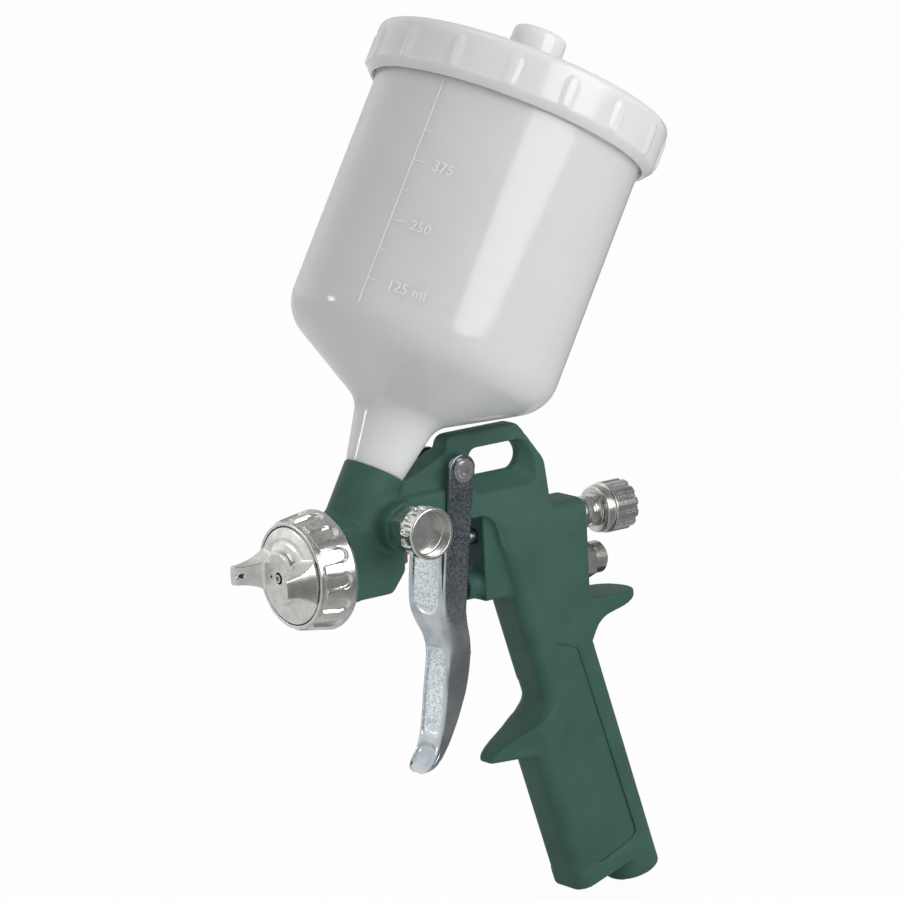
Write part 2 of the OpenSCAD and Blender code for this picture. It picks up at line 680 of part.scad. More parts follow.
module cap_ring() {
    floor_front = ring_front_r - ring_recess_depth / 2;
    floor_run = ring_len - ring_rim - ring_recess_w / 2;
    tilt = atan2(ring_rear_r - ring_front_r - ring_recess_depth / 2, ring_len);
    color(plated) place() difference() {
        spun([[lip_r, 0.4], [lip_r + 0.4, 0], [ring_front_r - 0.6, 0], [ring_front_r, 0.6],
            [ring_rear_r, ring_len - 1], [ring_rear_r - 0.4, ring_len],
            [ring_thread_r + 2 * run_fit, ring_len], [ring_thread_r + 2 * run_fit, lip_len],
            [lip_r, lip_len]]);
        for (i = [0 : ring_recesses - 1]) rotate([360 * (i + 0.5) / ring_recesses, 0, 0])
            translate([0, 0, floor_front]) rotate([0, tilt, 0]) {
                translate([-floor_run, -ring_recess_w / 2, 0]) cube([floor_run + 1, ring_recess_w, 5]);
                translate([-floor_run, 0, 0]) cylinder(h = 5, r = ring_recess_w / 2);
            }
    }
}

cap_disc_r = lip_r - free_gap;
cap_flange_r = ring_thread_r - 0.1;
cap_hole_r = nozzle_tip_r + 0.5;
horn_base = 7;

// One horn of the air cap, on the gun's left
module horn() {
    flank = [for (i = [0 : 8])
        [horn_reach * (1 - i / 8), horn_h / 2 + (horn_base - horn_h / 2) * pow(i / 8, 2.2)]];
    intersection() {
        linear_extrude(4 * horn_base, center = true) polygon([[0.2, 17], [horn_reach - 0.5, 17],
            [horn_reach, horn_out - 0.4], [horn_reach, horn_out - horn_tip], [cap_face, cap_face_r - 0.7],
            [0.2, cap_face_r - 0.7]]);
        plate(concat(flank, [for (i = [8 : -1 : 0]) [flank[i][0], -flank[i][1]]]), 30);
        rod(-20, 4, horn_out);
    }
}

module air_cap() {
    sweep = [for (i = [0 : 6])
        [12.5 - (12.5 - cap_face_r) * cos(15 * i), -0.9 - (cap_face - 1.4) * (1 - sin(15 * i))]];
    slope = atan2(horn_out - horn_tip - cap_face_r + 0.7, horn_reach - cap_face);
    color(plated) place() difference() {
        union() {
            spun(concat([[cap_hole_r, -cap_face], [cap_face_r - 0.5, -cap_face]], sweep,
                [[cap_disc_r - 0.4, -0.2], [cap_disc_r, 0.2], [cap_disc_r, lip_len + 0.2],
                [cap_flange_r, lip_len + 0.2], [cap_flange_r, 4], [13.2, 4], [11.5, 1.2], [6.5, -1],
                [cap_hole_r, -3]]));
            horn();
            mirror([0, 1, 0]) horn();
        }
        for (s = [-1, 1]) {
            rod(-horn_reach + 1.8, 4 + over, 0.9, 0, s * (horn_out - 1.4));
            translate([horn_reach - 2.1, s * (horn_out - 1.4), 0]) rotate([s * 90, 0, 0])
                rotate([0, slope, 0]) cylinder(h = 5, r = horn_hole_r);
            rod(-cap_face - over, 0, 0.5, 0, s * 4);
        }
    }
}

nozzle_flange_r = nozzle_shank_r + 1.2;
nozzle_bore_r = nozzle_shank_r / 2;

module fluid_nozzle() {
    color(steel) place() spun([[orifice_r, -cap_face - 0.3], [nozzle_tip_r, -cap_face - 0.3],
        [nozzle_tip_r, -2.4], [nozzle_flange_r - 2.6, 1.2], [nozzle_flange_r, 1.2],
        [nozzle_flange_r, head_face - 1], [nozzle_shank_r, head_face - 1], [nozzle_shank_r, nozzle_rear],
        [nozzle_bore_r, nozzle_rear], [nozzle_bore_r, 2], [orifice_r, -3.4]]);
}

module nozzle_gasket() {
    color(seal_white) place()
        washer(head_face - 1, head_face, nozzle_shank_r + seat_fit, nozzle_flange_r);
}

// Needle and its packing, spring and knob

module fluid_needle() {
    color(steel) place() spun([[0, -cap_face - 0.9], [orifice_r - 0.08, -3.4], [needle_r, -0.4],
        [needle_r, collar_front + collar_len], [shank_r, collar_front + collar_len],
        [shank_r, shoulder_x - 2.1], [sleeve_bore_r - 0.4, shoulder_x - 2.1],
        [sleeve_bore_r - 0.4, shoulder_x], [needle_r, shoulder_x],
        [needle_r, shoulder_x + 31], [needle_r - 0.5, shoulder_x + 32], [0, shoulder_x + 32]]);
}

module needle_collar() {
    color(steel) place() washer(collar_front, collar_front + collar_len, needle_r + seat_fit, collar_r);
}

module needle_packing() {
    color(seal_white) place() washer(packing_front, nut_front, needle_r + run_fit, packing_r);
}

module packing_nut() {
    color(brass) place() difference() {
        union() {
            rod(nut_front, head_rear + over, packing_r);
            hex_bar(head_rear, head_rear + nut_hex, 9);
        }
        rod(nut_front - over, head_rear + nut_hex + over, needle_r + 2 * run_fit);
    }
}

module needle_spring() {
    color(steel) place() coil(shoulder_x + 0.1, knob_floor - 0.1, sleeve_bore_r - 1, 0.5, 12);
}

module needle_sleeve() {
    color(plated) place() washer(sleeve_front, knob_floor - 0.8, sleeve_bore_r, sleeve_r);
}

module fluid_knob() {
    rear = sleeve_end + fluid_knob_len;
    color(plated) place() difference() {
        spun([[sleeve_r + 2 * run_fit, sleeve_end], [fluid_knob_r - 1.2, sleeve_end],
            [fluid_knob_r - 0.5, sleeve_end + 0.7], [fluid_knob_r - 0.5, sleeve_end + 2],
            [fluid_knob_r - 1.1, sleeve_end + 2.6], [fluid_knob_r, sleeve_end + 3.4],
            [fluid_knob_r, rear - 1.2], [fluid_knob_r - 1.2, rear], [0, rear], [0, knob_floor],
            [sleeve_r + 2 * run_fit, knob_floor]]);
        for (i = [0 : fluid_flutes - 1]) rotate([360 * i / fluid_flutes, 0, 0])
            rod(sleeve_end + 4, rear + over, 1.3, fluid_knob_r + 0.7);
    }
}

// Air valve

// How far the stem runs on behind the valve's seat, inside the spring
stem_tail = 18;

module air_valve_stem() {
    color(steel) place() spun([[0, stem_front], [stem_r - 0.5, stem_front], [stem_r, stem_front + 0.5],
        [stem_r, seat_x + stem_tail], [0, seat_x + stem_tail]], -valve_z);
}

seal_t = 1.9;
disc_t = 3.5;

module valve_seal() {
    color(rubber) place() washer(seat_x + 0.1, seat_x + 0.1 + seal_t, stem_r + seat_fit, disc_r, -valve_z);
}

module air_valve_disc() {
    front = seat_x + 0.1 + seal_t;
    color(brass) place() washer(front, front + disc_t, stem_r + seat_fit, disc_r, -valve_z);
}

module air_valve_packing() {
    color(seal_white) place() washer(valve_guide_rear, valve_guide_rear + valve_packing_len, stem_r + run_fit,
        valve_throat_r - seat_fit, -valve_z);
}

module air_valve_spring() {
    color(steel) place() coil(seat_x + seal_t + disc_t + 0.2, plug_floor, plug_bore_r - 0.8, 0.4, 8, -valve_z);
}

module air_valve_plug() {
    collar = body_rear + washer_t;
    end_r = plug_flats / 2 - 0.8;
    color(plated) place() difference() {
        union() {
            rod(plug_front, collar + over, chamber_r - seat_fit, -valve_z);
            hex_bar(collar, collar + plug_hex, plug_flats, -valve_z);
            spun([[0, collar + plug_hex - over], [end_r, collar + plug_hex - over], [end_r, plug_rear - 1],
                [end_r - 1, plug_rear], [0, plug_rear]], -valve_z);
        }
        rod(plug_front - over, plug_floor, plug_bore_r, -valve_z);
    }
}

module plug_washer() {
    color(brass) place()
        washer(body_rear, body_rear + washer_t, chamber_r + seat_fit, plug_flats / 2 + 0.8, -valve_z);
}

// Trigger and its pivot

// The channel's sides lie just inside the arms' faces where the two join
lap = 0.06;

// A channel section [z, distance of its front before the pivot, half width, depth], open to the rear
function channel(s) =
    let (f = -pivot_x + s[1], w = s[2] - lap, d = s[3], r = min(3, w / 2, d - sheet - 0.1),
        q = max(0.2, r - sheet), t = min(sheet, d - 0.4), v = w - t + 2 * lap)
    [for (p = concat([[f - d, -w]], [for (i = [0 : 5]) [f - r, -w + r] + r * [sin(18 * i), -cos(18 * i)]],
        [for (i = [0 : 5]) [f - r, w - r] + r * [cos(18 * i), sin(18 * i)]], [[f - d, w], [f - d, v]],
        [for (i = [0 : 5]) [f - t - q, v - q] + q * [sin(18 * i), cos(18 * i)]],
        [for (i = [0 : 5]) [f - t - q, -v + q] + q * [cos(18 * i), -sin(18 * i)]], [[f - d, -v]]))
        [p[0], p[1], s[0]]];

channel_n = 28;
tip = trigger_tip;
trigger_sections = [[5, 8, arm_out, 9.8], [-5, 9.1, arm_out, 9.6], [-14, 10, arm_out, 9.5],
    [-21, 10.2, arm_out - 0.1, 9], [-26, 9.4, arm_out - 0.8, 9], [-31, 7.9, finger_half + 1.2, 9.1],
    [-37, 7.3, finger_half + 0.2, 9.2], [-48, 8.6, finger_half, 8.2], [-56, 9.9, finger_half - 0.2, 6.4],
    [-tip + 10.5, 11.3, finger_half - 0.4, 4.4], [-tip + 5.5, 13.2, finger_half - 0.5, 3],
    [-tip + 2, 15.2, finger_half - 0.6, 2.2], [-tip, 17, finger_half - 1.2, 2]];

module trigger() {
    color(zinc) place() difference() {
        union() {
            skin([for (s = trigger_sections) channel(s)],
                [for (k = [0 : channel_n / 2 - 2]) [k, k + 1, channel_n - 2 - k, channel_n - 1 - k]]);
            for (s = [-1, 1]) translate([0, s * (arm_in + arm_out) / 2, 0]) plate(concat(
                [for (i = [0 : 12]) [-pivot_x, pivot_z] + arm_r * [cos(8 + 15 * i), sin(8 + 15 * i)]],
                [[-pivot_x - 2, 3], [-pivot_x + 6, 3]]), sheet / 2);
        }
        at_pivot() cylinder(h = 40, r = pivot_r + run_fit, center = true);
        rod(pivot_x - 14, pivot_x + 4, needle_r + 0.7, -1.2);
        translate([-pivot_x - 4, -needle_r - 0.7, -1.2]) cube([18, 2 * (needle_r + 0.7), 9]);
    }
}

screw_r = 1.5;
sleeve_half = arm_out + 0.15;

module pivot_sleeve() {
    color(steel) place() at_pivot() difference() {
        cylinder(h = 2 * sleeve_half, r = pivot_r, center = true);
        cylinder(h = 2 * sleeve_half + 2 * over, r = screw_r + seat_fit, center = true);
    }
}

// One pivot screw, on the gun's left
module pivot_screw() {
    at_pivot() translate([0, 0, sleeve_half]) difference() {
        rotate_extrude() polygon([[0, -7], [screw_r, -7], [screw_r, 0], [arm_r - 1.2, 0], [arm_r - 1.2, 0.5],
            [arm_r - 2.2, 0.5], [arm_r - 2.2, 1.1], [arm_r - 2.5, 1.4], [0, 1.4]]);
        translate([0, 0, 0.2]) cylinder(h = 3, r = 1.5, $fn = 6);
    }
}

module pivot_screws() { color(steel) place() { pivot_screw(); mirror([0, 1, 0]) pivot_screw(); } }

// Fan control

spindle_r = 2.2;
fan_top = fan_face + fan_hex_h;

module fan_gland() {
    color(plated) place() at_fan() difference() {
        union() {
            translate([0, 0, fan_floor]) cylinder(h = fan_face - fan_floor + over, r = gland_r);
            translate([0, 0, fan_face]) cylinder(h = fan_hex_h, r = fan_flats / 2 / cos(30), $fn = 6);
        }
        cylinder(h = 40, r = spindle_r + run_fit);
        translate([0, 0, fan_top - 4]) cylinder(h = 5, r = gland_r - 1);
    }
}

module fan_packing() {
    color(rubber) place() at_fan() translate([0, 0, fan_top - 4]) difference() {
        cylinder(h = 2.4, r = gland_r - 1 - seat_fit);
        translate([0, 0, -over]) cylinder(h = 4, r = spindle_r + run_fit);
    }
}

knob_foot = fan_top + 2 * free_gap;
knob_recess = 5.6;

module fan_spindle() {
    end = knob_foot + fan_knob_len - knob_recess - 1.5;
    color(steel) place() at_fan() rotate_extrude()
        polygon([[0, fan_seat + free_gap], [spindle_r - 1.2, fan_seat + free_gap],
            [spindle_r, fan_seat + free_gap + 2.4], [spindle_r, end], [0, end]]);
}

module fan_knob() {
    top = knob_foot + fan_knob_len;
    color(plated) place() at_fan() difference() {
        rotate_extrude() polygon([[spindle_r + seat_fit, knob_foot], [fan_knob_r - 0.8, knob_foot],
            [fan_knob_r, knob_foot + 0.8], [fan_knob_r, top - 0.8], [fan_knob_r - 0.6, top],
            [fan_knob_r - 1, top], [fan_knob_r - 1.35, top - 0.4], [fan_knob_r - 1.35, top - knob_recess],
            [0, top - knob_recess],
            [0, top - knob_recess - 1.5], [spindle_r + seat_fit, top - knob_recess - 1.5]]);
        for (i = [0 : fan_grips - 1]) rotate([0, 0, 360 * (i + 0.5) / fan_grips])
            translate([fan_knob_r + 0.9, 0, knob_foot + 2.6]) cylinder(h = fan_knob_len - 4.6, r = 1.6);
    }
}

gun_body();
paint_cup();
cup_gasket();
cup_lid();
lid_seal();
vent_cap();
cap_ring();
air_cap();
fluid_nozzle();
nozzle_gasket();
fluid_needle();
needle_collar();
needle_packing();
packing_nut();
needle_spring();
needle_sleeve();
fluid_knob();
air_valve_stem();
air_valve_disc();
valve_seal();
air_valve_packing();
air_valve_spring();
air_valve_plug();
plug_washer();
trigger();
pivot_sleeve();
pivot_screws();
fan_gland();
fan_packing();
fan_spindle();
fan_knob();
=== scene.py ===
import json
import math

import bmesh
import bpy
import numpy as np
from mathutils import Matrix, Vector


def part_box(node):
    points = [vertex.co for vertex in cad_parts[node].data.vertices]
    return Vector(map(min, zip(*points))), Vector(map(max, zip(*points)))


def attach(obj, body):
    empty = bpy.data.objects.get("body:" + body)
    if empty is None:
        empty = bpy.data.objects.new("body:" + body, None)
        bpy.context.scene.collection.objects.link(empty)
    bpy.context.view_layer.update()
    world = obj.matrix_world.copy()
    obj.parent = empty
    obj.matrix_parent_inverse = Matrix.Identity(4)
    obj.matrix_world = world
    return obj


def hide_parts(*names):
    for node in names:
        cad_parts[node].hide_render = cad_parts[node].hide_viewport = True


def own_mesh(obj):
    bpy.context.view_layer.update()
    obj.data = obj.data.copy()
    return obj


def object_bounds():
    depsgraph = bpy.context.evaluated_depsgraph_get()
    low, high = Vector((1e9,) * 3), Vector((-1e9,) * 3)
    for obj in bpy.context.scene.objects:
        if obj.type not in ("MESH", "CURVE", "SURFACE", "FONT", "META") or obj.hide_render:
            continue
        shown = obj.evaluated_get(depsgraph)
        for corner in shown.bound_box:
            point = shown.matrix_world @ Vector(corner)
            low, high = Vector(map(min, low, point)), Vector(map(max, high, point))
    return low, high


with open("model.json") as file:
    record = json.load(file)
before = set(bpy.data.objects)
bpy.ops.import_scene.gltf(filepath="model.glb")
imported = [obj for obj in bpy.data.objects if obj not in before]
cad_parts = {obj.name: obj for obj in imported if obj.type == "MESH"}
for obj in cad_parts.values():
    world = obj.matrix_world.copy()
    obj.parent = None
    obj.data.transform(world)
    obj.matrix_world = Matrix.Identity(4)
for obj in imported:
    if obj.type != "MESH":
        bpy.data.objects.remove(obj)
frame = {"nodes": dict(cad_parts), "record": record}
nodes = frame["nodes"]
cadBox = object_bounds()
scene = bpy.context.scene
mm = 0.001

ringLow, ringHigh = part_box("cap_ring")
sprayPoint = Vector((ringHigh.x, 0, (ringLow.z + ringHigh.z) / 2))  # on its axis, at its front edge
slotOf = {row["node"]: row["material_slot"] for row in frame["record"]["subparts"]}
bodies = frame["record"]["behaviour"]["bodies"]
bodyOf = {node: body for body, members in bodies.items() for node in members}
print("frame loaded:", len(nodes), "nodes")


def gun(x, y, z):  # a point in millimetres from the spray point, in the frame's metres
    return sprayPoint + Vector((x, y, z)) * mm


def axes(x, y, z, turn="X", degrees=0):  # a frame in millimetres at a point of the gun, turned about one axis
    spin = Matrix.Rotation(math.radians(degrees), 4, turn)
    return Matrix.Translation(gun(x, y, z)) @ spin @ Matrix.Scale(mm, 4)


gunAxes = axes(0, 0, 0)
sprayAxes = axes(0, 0, 0, "Y", -90)  # Z runs back from the ring's front edge
cupAxes = axes(-18.6, 0, 0, "Y", -30)  # Z runs up the cup
fanAxes = axes(-34.4, 0, 12, "X", -90)  # Z runs out to the gun's left

# camera

view = {
    "azimuth": 36.867,  # degrees, from the gun's left towards its front
    "elevation": 11.79,
    "roll": 2.857,
    "offset": (50.423, 39.715, 1417.139),  # mm to the right, up and back from the spray point
    "lens": 180.0,
    "sensor": 36.0,
    "clip": (0.05, 20),  # m
}


def placeCamera():
    a, e, r = (math.radians(view[k]) for k in ("azimuth", "elevation", "roll"))
    back = Vector((math.cos(e) * math.sin(a), math.cos(e) * math.cos(a), math.sin(e)))
    level = Vector((-math.cos(a), math.sin(a), 0))
    upright = back.cross(level)
    right = math.cos(r) * level - math.sin(r) * upright
    up = math.sin(r) * level + math.cos(r) * upright
    x, y, z = view["offset"]
    spot = sprayPoint + (x * right + y * up + z * back) * mm
    data = bpy.data.cameras.new("photoCamera")
    data.lens, data.sensor_width = view["lens"], view["sensor"]
    data.clip_start, data.clip_end = view["clip"]
    camera = bpy.data.objects.new("photoCamera", data)
    scene.collection.objects.link(camera)
    camera.matrix_world = Matrix((
        (right.x, up.x, back.x, spot.x), (right.y, up.y, back.y, spot.y),
        (right.z, up.z, back.z, spot.z), (0, 0, 0, 1)))
    scene.camera = camera
    return right, up, back


right, up, back = placeCamera()
scene.view_settings.view_transform = "Standard"
print("camera placed")

# node trees


def wire(tree, kind, **settings):  # a node with its settings given by name
    node = tree.nodes.new(kind)
    for key, value in settings.items():
        setattr(node, key, value)
    return node


def feed(tree, value, socket):  # links a socket, or sets it to a plain value
    if isinstance(value, bpy.types.NodeSocket):
        tree.links.new(value, socket)
    else:
        socket.default_value = value


def fed(socket):  # what feeds a socket already
    return socket.links[0].from_socket if socket.links else None


def maths(tree, operation, a, b=0.0):
    node = wire(tree, "ShaderNodeMath", operation=operation)
    feed(tree, a, node.inputs[0])
    feed(tree, b, node.inputs[1])
    return node.outputs[0]


def ramp(tree, value, low, high, start=0.0, end=1.0):  # a soft step from start at low to end at high
    node = wire(tree, "ShaderNodeMapRange", interpolation_type="SMOOTHSTEP")
    keys = ("Value", "From Min", "From Max", "To Min", "To Max")
    for key, entry in zip(keys, (value, low, high, start, end)):
        feed(tree, entry, node.inputs[key])
    return node.outputs["Result"]


def blend(tree, amount, a, b):  # one colour over another
    node = wire(tree, "ShaderNodeMix", data_type="RGBA")
    feed(tree, amount, node.inputs["Factor"])
    for value, key in ((a, "A_Color"), (b, "B_Color")):
        socket = next(s for s in node.inputs if s.identifier == key)
        feed(tree, value if isinstance(value, bpy.types.NodeSocket) else (*value, 1), socket)
    return next(s for s in node.outputs if s.identifier == "Result_Color")


def along(tree, where, axis):  # how far a place or a direction runs along an axis
    node = wire(tree, "ShaderNodeVectorMath", operation="DOT_PRODUCT")
    feed(tree, where, node.inputs[0])
    feed(tree, axis, node.inputs[1])
    return node.outputs["Value"]


def overlaid(tree, amount, under, over):  # one shader over another
    node = tree.nodes.new("ShaderNodeMixShader")
    for value, socket in zip((amount, under, over), node.inputs):
        feed(tree, value, socket)
    return node.outputs[0]


# studio

studio = {
    "middle": (-60, 0, 60),  # the cup's middle in mm, which the lamps stand round
    "floorGap": 2,  # mm between the lowest point and the floor
    "floorSide": 8.0,  # m
    "floorColor": (0.95, 0.95, 0.95, 1), "floorRoughness": 0.9,
    "floorGlow": 0.97,  # how white the floor shows to the camera
    "floorSheen": (-0.15, 0.25, 0.75, 0.22),  # to polished metal: left and right ends in m, and its shade there
    "fill": 0.42,  # strength of the world on dull surfaces
    "room": (0.2, 0.7, 0.35),  # to polished metal: its shade, and how much paler it is to the left and behind
    "roomEdge": 0.8,  # how far round the room is at its palest
    "lamps": [  # name, place in mm and facing, both right, up and back, width and height in m, watts
        ("keyPanel", (900, 300, 1290), (-1, 0, 0), 1.83, 0.9, 19.0),
        ("topLamp", (-250, 900, 350), (0.25, -0.9, -0.35), 0.7, 0.5, 1.2),
        ("leftLamp", (-990, 140, 20), (0.99, -0.14, -0.02), 0.13, 0.13, 0.5),
    ],
}
middle = gun(*studio["middle"])


def seenDirectly(tree):  # the camera's rays, and all rays that show the background itself
    rays = tree.nodes.new("ShaderNodeLightPath").outputs
    most = maths(tree, "MAXIMUM", rays["Is Camera Ray"], rays["Is Glossy Ray"])
    return rays["Is Camera Ray"], maths(tree, "MAXIMUM", most, rays["Is Transmission Ray"])


def buildRoom():
    world = bpy.data.worlds.new("studioWorld")
    scene.world = world
    world.use_nodes = True
    tree = world.node_tree
    shown, dull = tree.nodes["Background"], tree.nodes.new("ShaderNodeBackground")
    for light in (shown, dull):
        light.inputs["Color"].default_value = (1, 1, 1, 1)
    camera, direct = seenDirectly(tree)
    where = tree.nodes.new("ShaderNodeTexCoord").outputs["Generated"]
    shade, *more = studio["room"]
    for axis, amount in zip((right, back), more):
        paler = ramp(tree, along(tree, where, -axis), 0.0, studio["roomEdge"], 0.0, amount)
        shade = maths(tree, "ADD", shade, paler)
    feed(tree, maths(tree, "MAXIMUM", shade, camera), shown.inputs["Strength"])
    feed(tree, studio["fill"], dull.inputs["Strength"])
    surface = overlaid(tree, direct, dull.outputs[0], shown.outputs[0])
    feed(tree, surface, tree.nodes["World Output"].inputs["Surface"])


def buildFloor():
    side = studio["floorSide"] / 2
    height = cadBox[0][2] - studio["floorGap"] * mm
    corners = [(x * side, y * side, height) for x, y in ((-1, -1), (1, -1), (1, 1), (-1, 1))]
    mesh = bpy.data.meshes.new("floor")
    mesh.from_pydata(corners, [], [(0, 1, 2, 3)])
    floor = bpy.data.objects.new("floor", mesh)
    scene.collection.objects.link(floor)
    paint = bpy.data.materials.new("floorWhite")
    paint.use_nodes = True
    tree = paint.node_tree
    dull, glow = tree.nodes["Principled BSDF"], tree.nodes.new("ShaderNodeEmission")
    dull.inputs["Base Color"].default_value = studio["floorColor"]
    dull.inputs["Roughness"].default_value = studio["floorRoughness"]
    camera, direct = seenDirectly(tree)
    where = tree.nodes.new("ShaderNodeTexCoord").outputs["Object"]
    aside = maths(tree, "SUBTRACT", along(tree, where, right), middle.dot(right))
    sheen = ramp(tree, aside, *studio["floorSheen"])
    feed(tree, maths(tree, "MAXIMUM", camera, sheen), glow.inputs["Strength"])
    white = maths(tree, "MULTIPLY", direct, studio["floorGlow"])
    surface = overlaid(tree, white, dull.outputs[0], glow.outputs[0])
    feed(tree, surface, tree.nodes["Material Output"].inputs["Surface"])
    mesh.materials.append(paint)


def fromCamera(steps):  # a direction given right, up and back
    return sum((v * axis for v, axis in zip(steps, (right, up, back))), Vector())


def placeLamps():
    for name, place, aim, width, height, watts in studio["lamps"]:
        data = bpy.data.lights.new(name, "AREA")
        data.shape, data.size, data.size_y, data.energy = "RECTANGLE", width, height, watts
        lamp = bpy.data.objects.new(name, data)
        scene.collection.objects.link(lamp)
        lamp.location = middle + fromCamera(place) * mm
        lamp.rotation_euler = fromCamera(aim).to_track_quat("-Z", "Y").to_euler()


buildRoom()
buildFloor()
placeLamps()
print("studio built")

# finishes


def shaderGroup(name, scales, values):  # a group that reads Object coordinates, its scales and its values
    tree = bpy.data.node_groups.new(name, "ShaderNodeTree")
    for label in scales:
        tree.interface.new_socket(label, in_out="INPUT", socket_type="NodeSocketFloat")
    for label in values:
        tree.interface.new_socket(label, in_out="OUTPUT", socket_type="NodeSocketFloat")
    where = tree.nodes.new("ShaderNodeTexCoord").outputs["Object"]
    return tree, where, tree.nodes.new("NodeGroupInput").outputs, tree.nodes.new("NodeGroupOutput").inputs


def grainGroup():  # fine and broad unevenness
    tree, where, given, made = shaderGroup("surfaceGrain", ("Fine Scale", "Broad Scale"), ("Fine", "Broad"))
    for name, detail in (("Fine", 3.0), ("Broad", 2.0)):
        noise = tree.nodes.new("ShaderNodeTexNoise")
        feed(tree, where, noise.inputs["Vector"])
        feed(tree, given[name + " Scale"], noise.inputs["Scale"])
        feed(tree, detail, noise.inputs["Detail"])
        feed(tree, noise.outputs["Fac"], made[name])
    return tree


def flakeGroup():  # a grey value for each crystal flake
    tree, where, given, made = shaderGroup("crystalFlakes", ("Flake Scale",), ("Gray",))
    flakes = tree.nodes.new("ShaderNodeTexVoronoi")
    feed(tree, where, flakes.inputs["Vector"])
    feed(tree, given["Flake Scale"], flakes.inputs["Scale"])
    gray = tree.nodes.new("ShaderNodeRGBToBW")
    feed(tree, flakes.outputs["Color"], gray.inputs["Color"])
    feed(tree, gray.outputs[0], made["Gray"])
    return tree


grainTree, flakeTree = grainGroup(), flakeGroup()


def placed(tree, group, **sizes):  # a group in a material, with its sizes in mm
    node = wire(tree, "ShaderNodeGroup", node_tree=group)
    for name, size in sizes.items():
        node.inputs[name.capitalize() + " Scale"].default_value = 1000 / size
    return node.outputs


def painted(tree, name):  # a value that the mesh keeps for each corner
    return wire(tree, "ShaderNodeAttribute", attribute_name=name).outputs["Fac"]


def raised(tree, sockets, height, source):  # a bump, its height in mm, on top of those that are there
    bump = tree.nodes.new("ShaderNodeBump")
    bump.inputs["Distance"].default_value = height * mm
    feed(tree, source, bump.inputs["Height"])
    under = fed(sockets["Normal"])
    if under:
        feed(tree, under, bump.inputs["Normal"])
    feed(tree, bump.outputs["Normal"], sockets["Normal"])


midGrain = (0.3, 0.7)  # the part of the grain's range that most of a surface has


def finish(name, dark, pale, roughness, fine, broad, bump, waves=0.0, metallic=0.0, tone=midGrain, extra=None):
    material = bpy.data.materials.new(name)
    material.use_nodes = True
    tree = material.node_tree
    sockets = tree.nodes["Principled BSDF"].inputs
    sockets["Metallic"].default_value = metallic
    grain = placed(tree, grainTree, fine=fine, broad=broad)
    feed(tree, blend(tree, ramp(tree, grain["Broad"], *tone), dark, pale), sockets["Base Color"])
    feed(tree, ramp(tree, grain["Fine"], *midGrain, *roughness), sockets["Roughness"])
    for height, source in ((waves, "Broad"), (bump, "Fine")):
        if height:
            raised(tree, sockets, height, grain[source])
    if extra:
        extra(tree, sockets)
    return material


milk = {"Subsurface Weight": 0.75, "Subsurface Radius": (1.0, 1.0, 1.0), "Subsurface Scale": 8 * mm}


def milky(tree, sockets):
    for name, value in milk.items():
        sockets[name].default_value = value


zincFlakes = {
    "size": 0.5,  # mm
    "dark": (0.50, 0.58, 0.62), "pale": (0.90, 0.95, 0.96), "roughness": (0.2, 0.35),  # on the pressed pads
    "flank": (0.08, 0.12, 0.16), "flankShare": (0.85, 0.2),  # painted shade on the flanks, which stands in for the dark room they reflect; how far the dark and the pale flakes take it
}


def spangled(tree, sockets):  # smooth zinc plate with painted shade on its flanks, and the pressed pads left in fine flakes
    f = zincFlakes
    pad = painted(tree, "pad")
    gray = placed(tree, flakeTree, flake=f["size"])["Gray"]
    # painted shade: the trigger's side faces darkened, more on dark flakes than on pale ones
    paintedFlankShade = maths(tree, "MULTIPLY", painted(tree, "flank"), ramp(tree, gray, 0.1, 0.9, *f["flankShare"]))
    smooth = blend(tree, paintedFlankShade, fed(sockets["Base Color"]), f["flank"])
    speckle = blend(tree, ramp(tree, gray, 0.2, 0.8), f["dark"], f["pale"])
    feed(tree, blend(tree, pad, smooth, speckle), sockets["Base Color"])
    rougher = maths(tree, "MULTIPLY", pad, ramp(tree, gray, 0.2, 0.8, *f["roughness"]))
    feed(tree, maths(tree, "ADD", fed(sockets["Roughness"]), rougher), sockets["Roughness"])


powder = {"gloss": 0.18, "stipple": 0.12, "grit": 0.6}  # height and size of the panels' stipple in mm


def powdered(tree, sockets):  # a dull coat, with stippled side panels on the handle
    sockets["Specular IOR Level"].default_value = powder["gloss"]
    grit = placed(tree, flakeTree, flake=powder["grit"])["Gray"]
    raised(tree, sockets, powder["stipple"], maths(tree, "MULTIPLY", painted(tree, "panel"), grit))


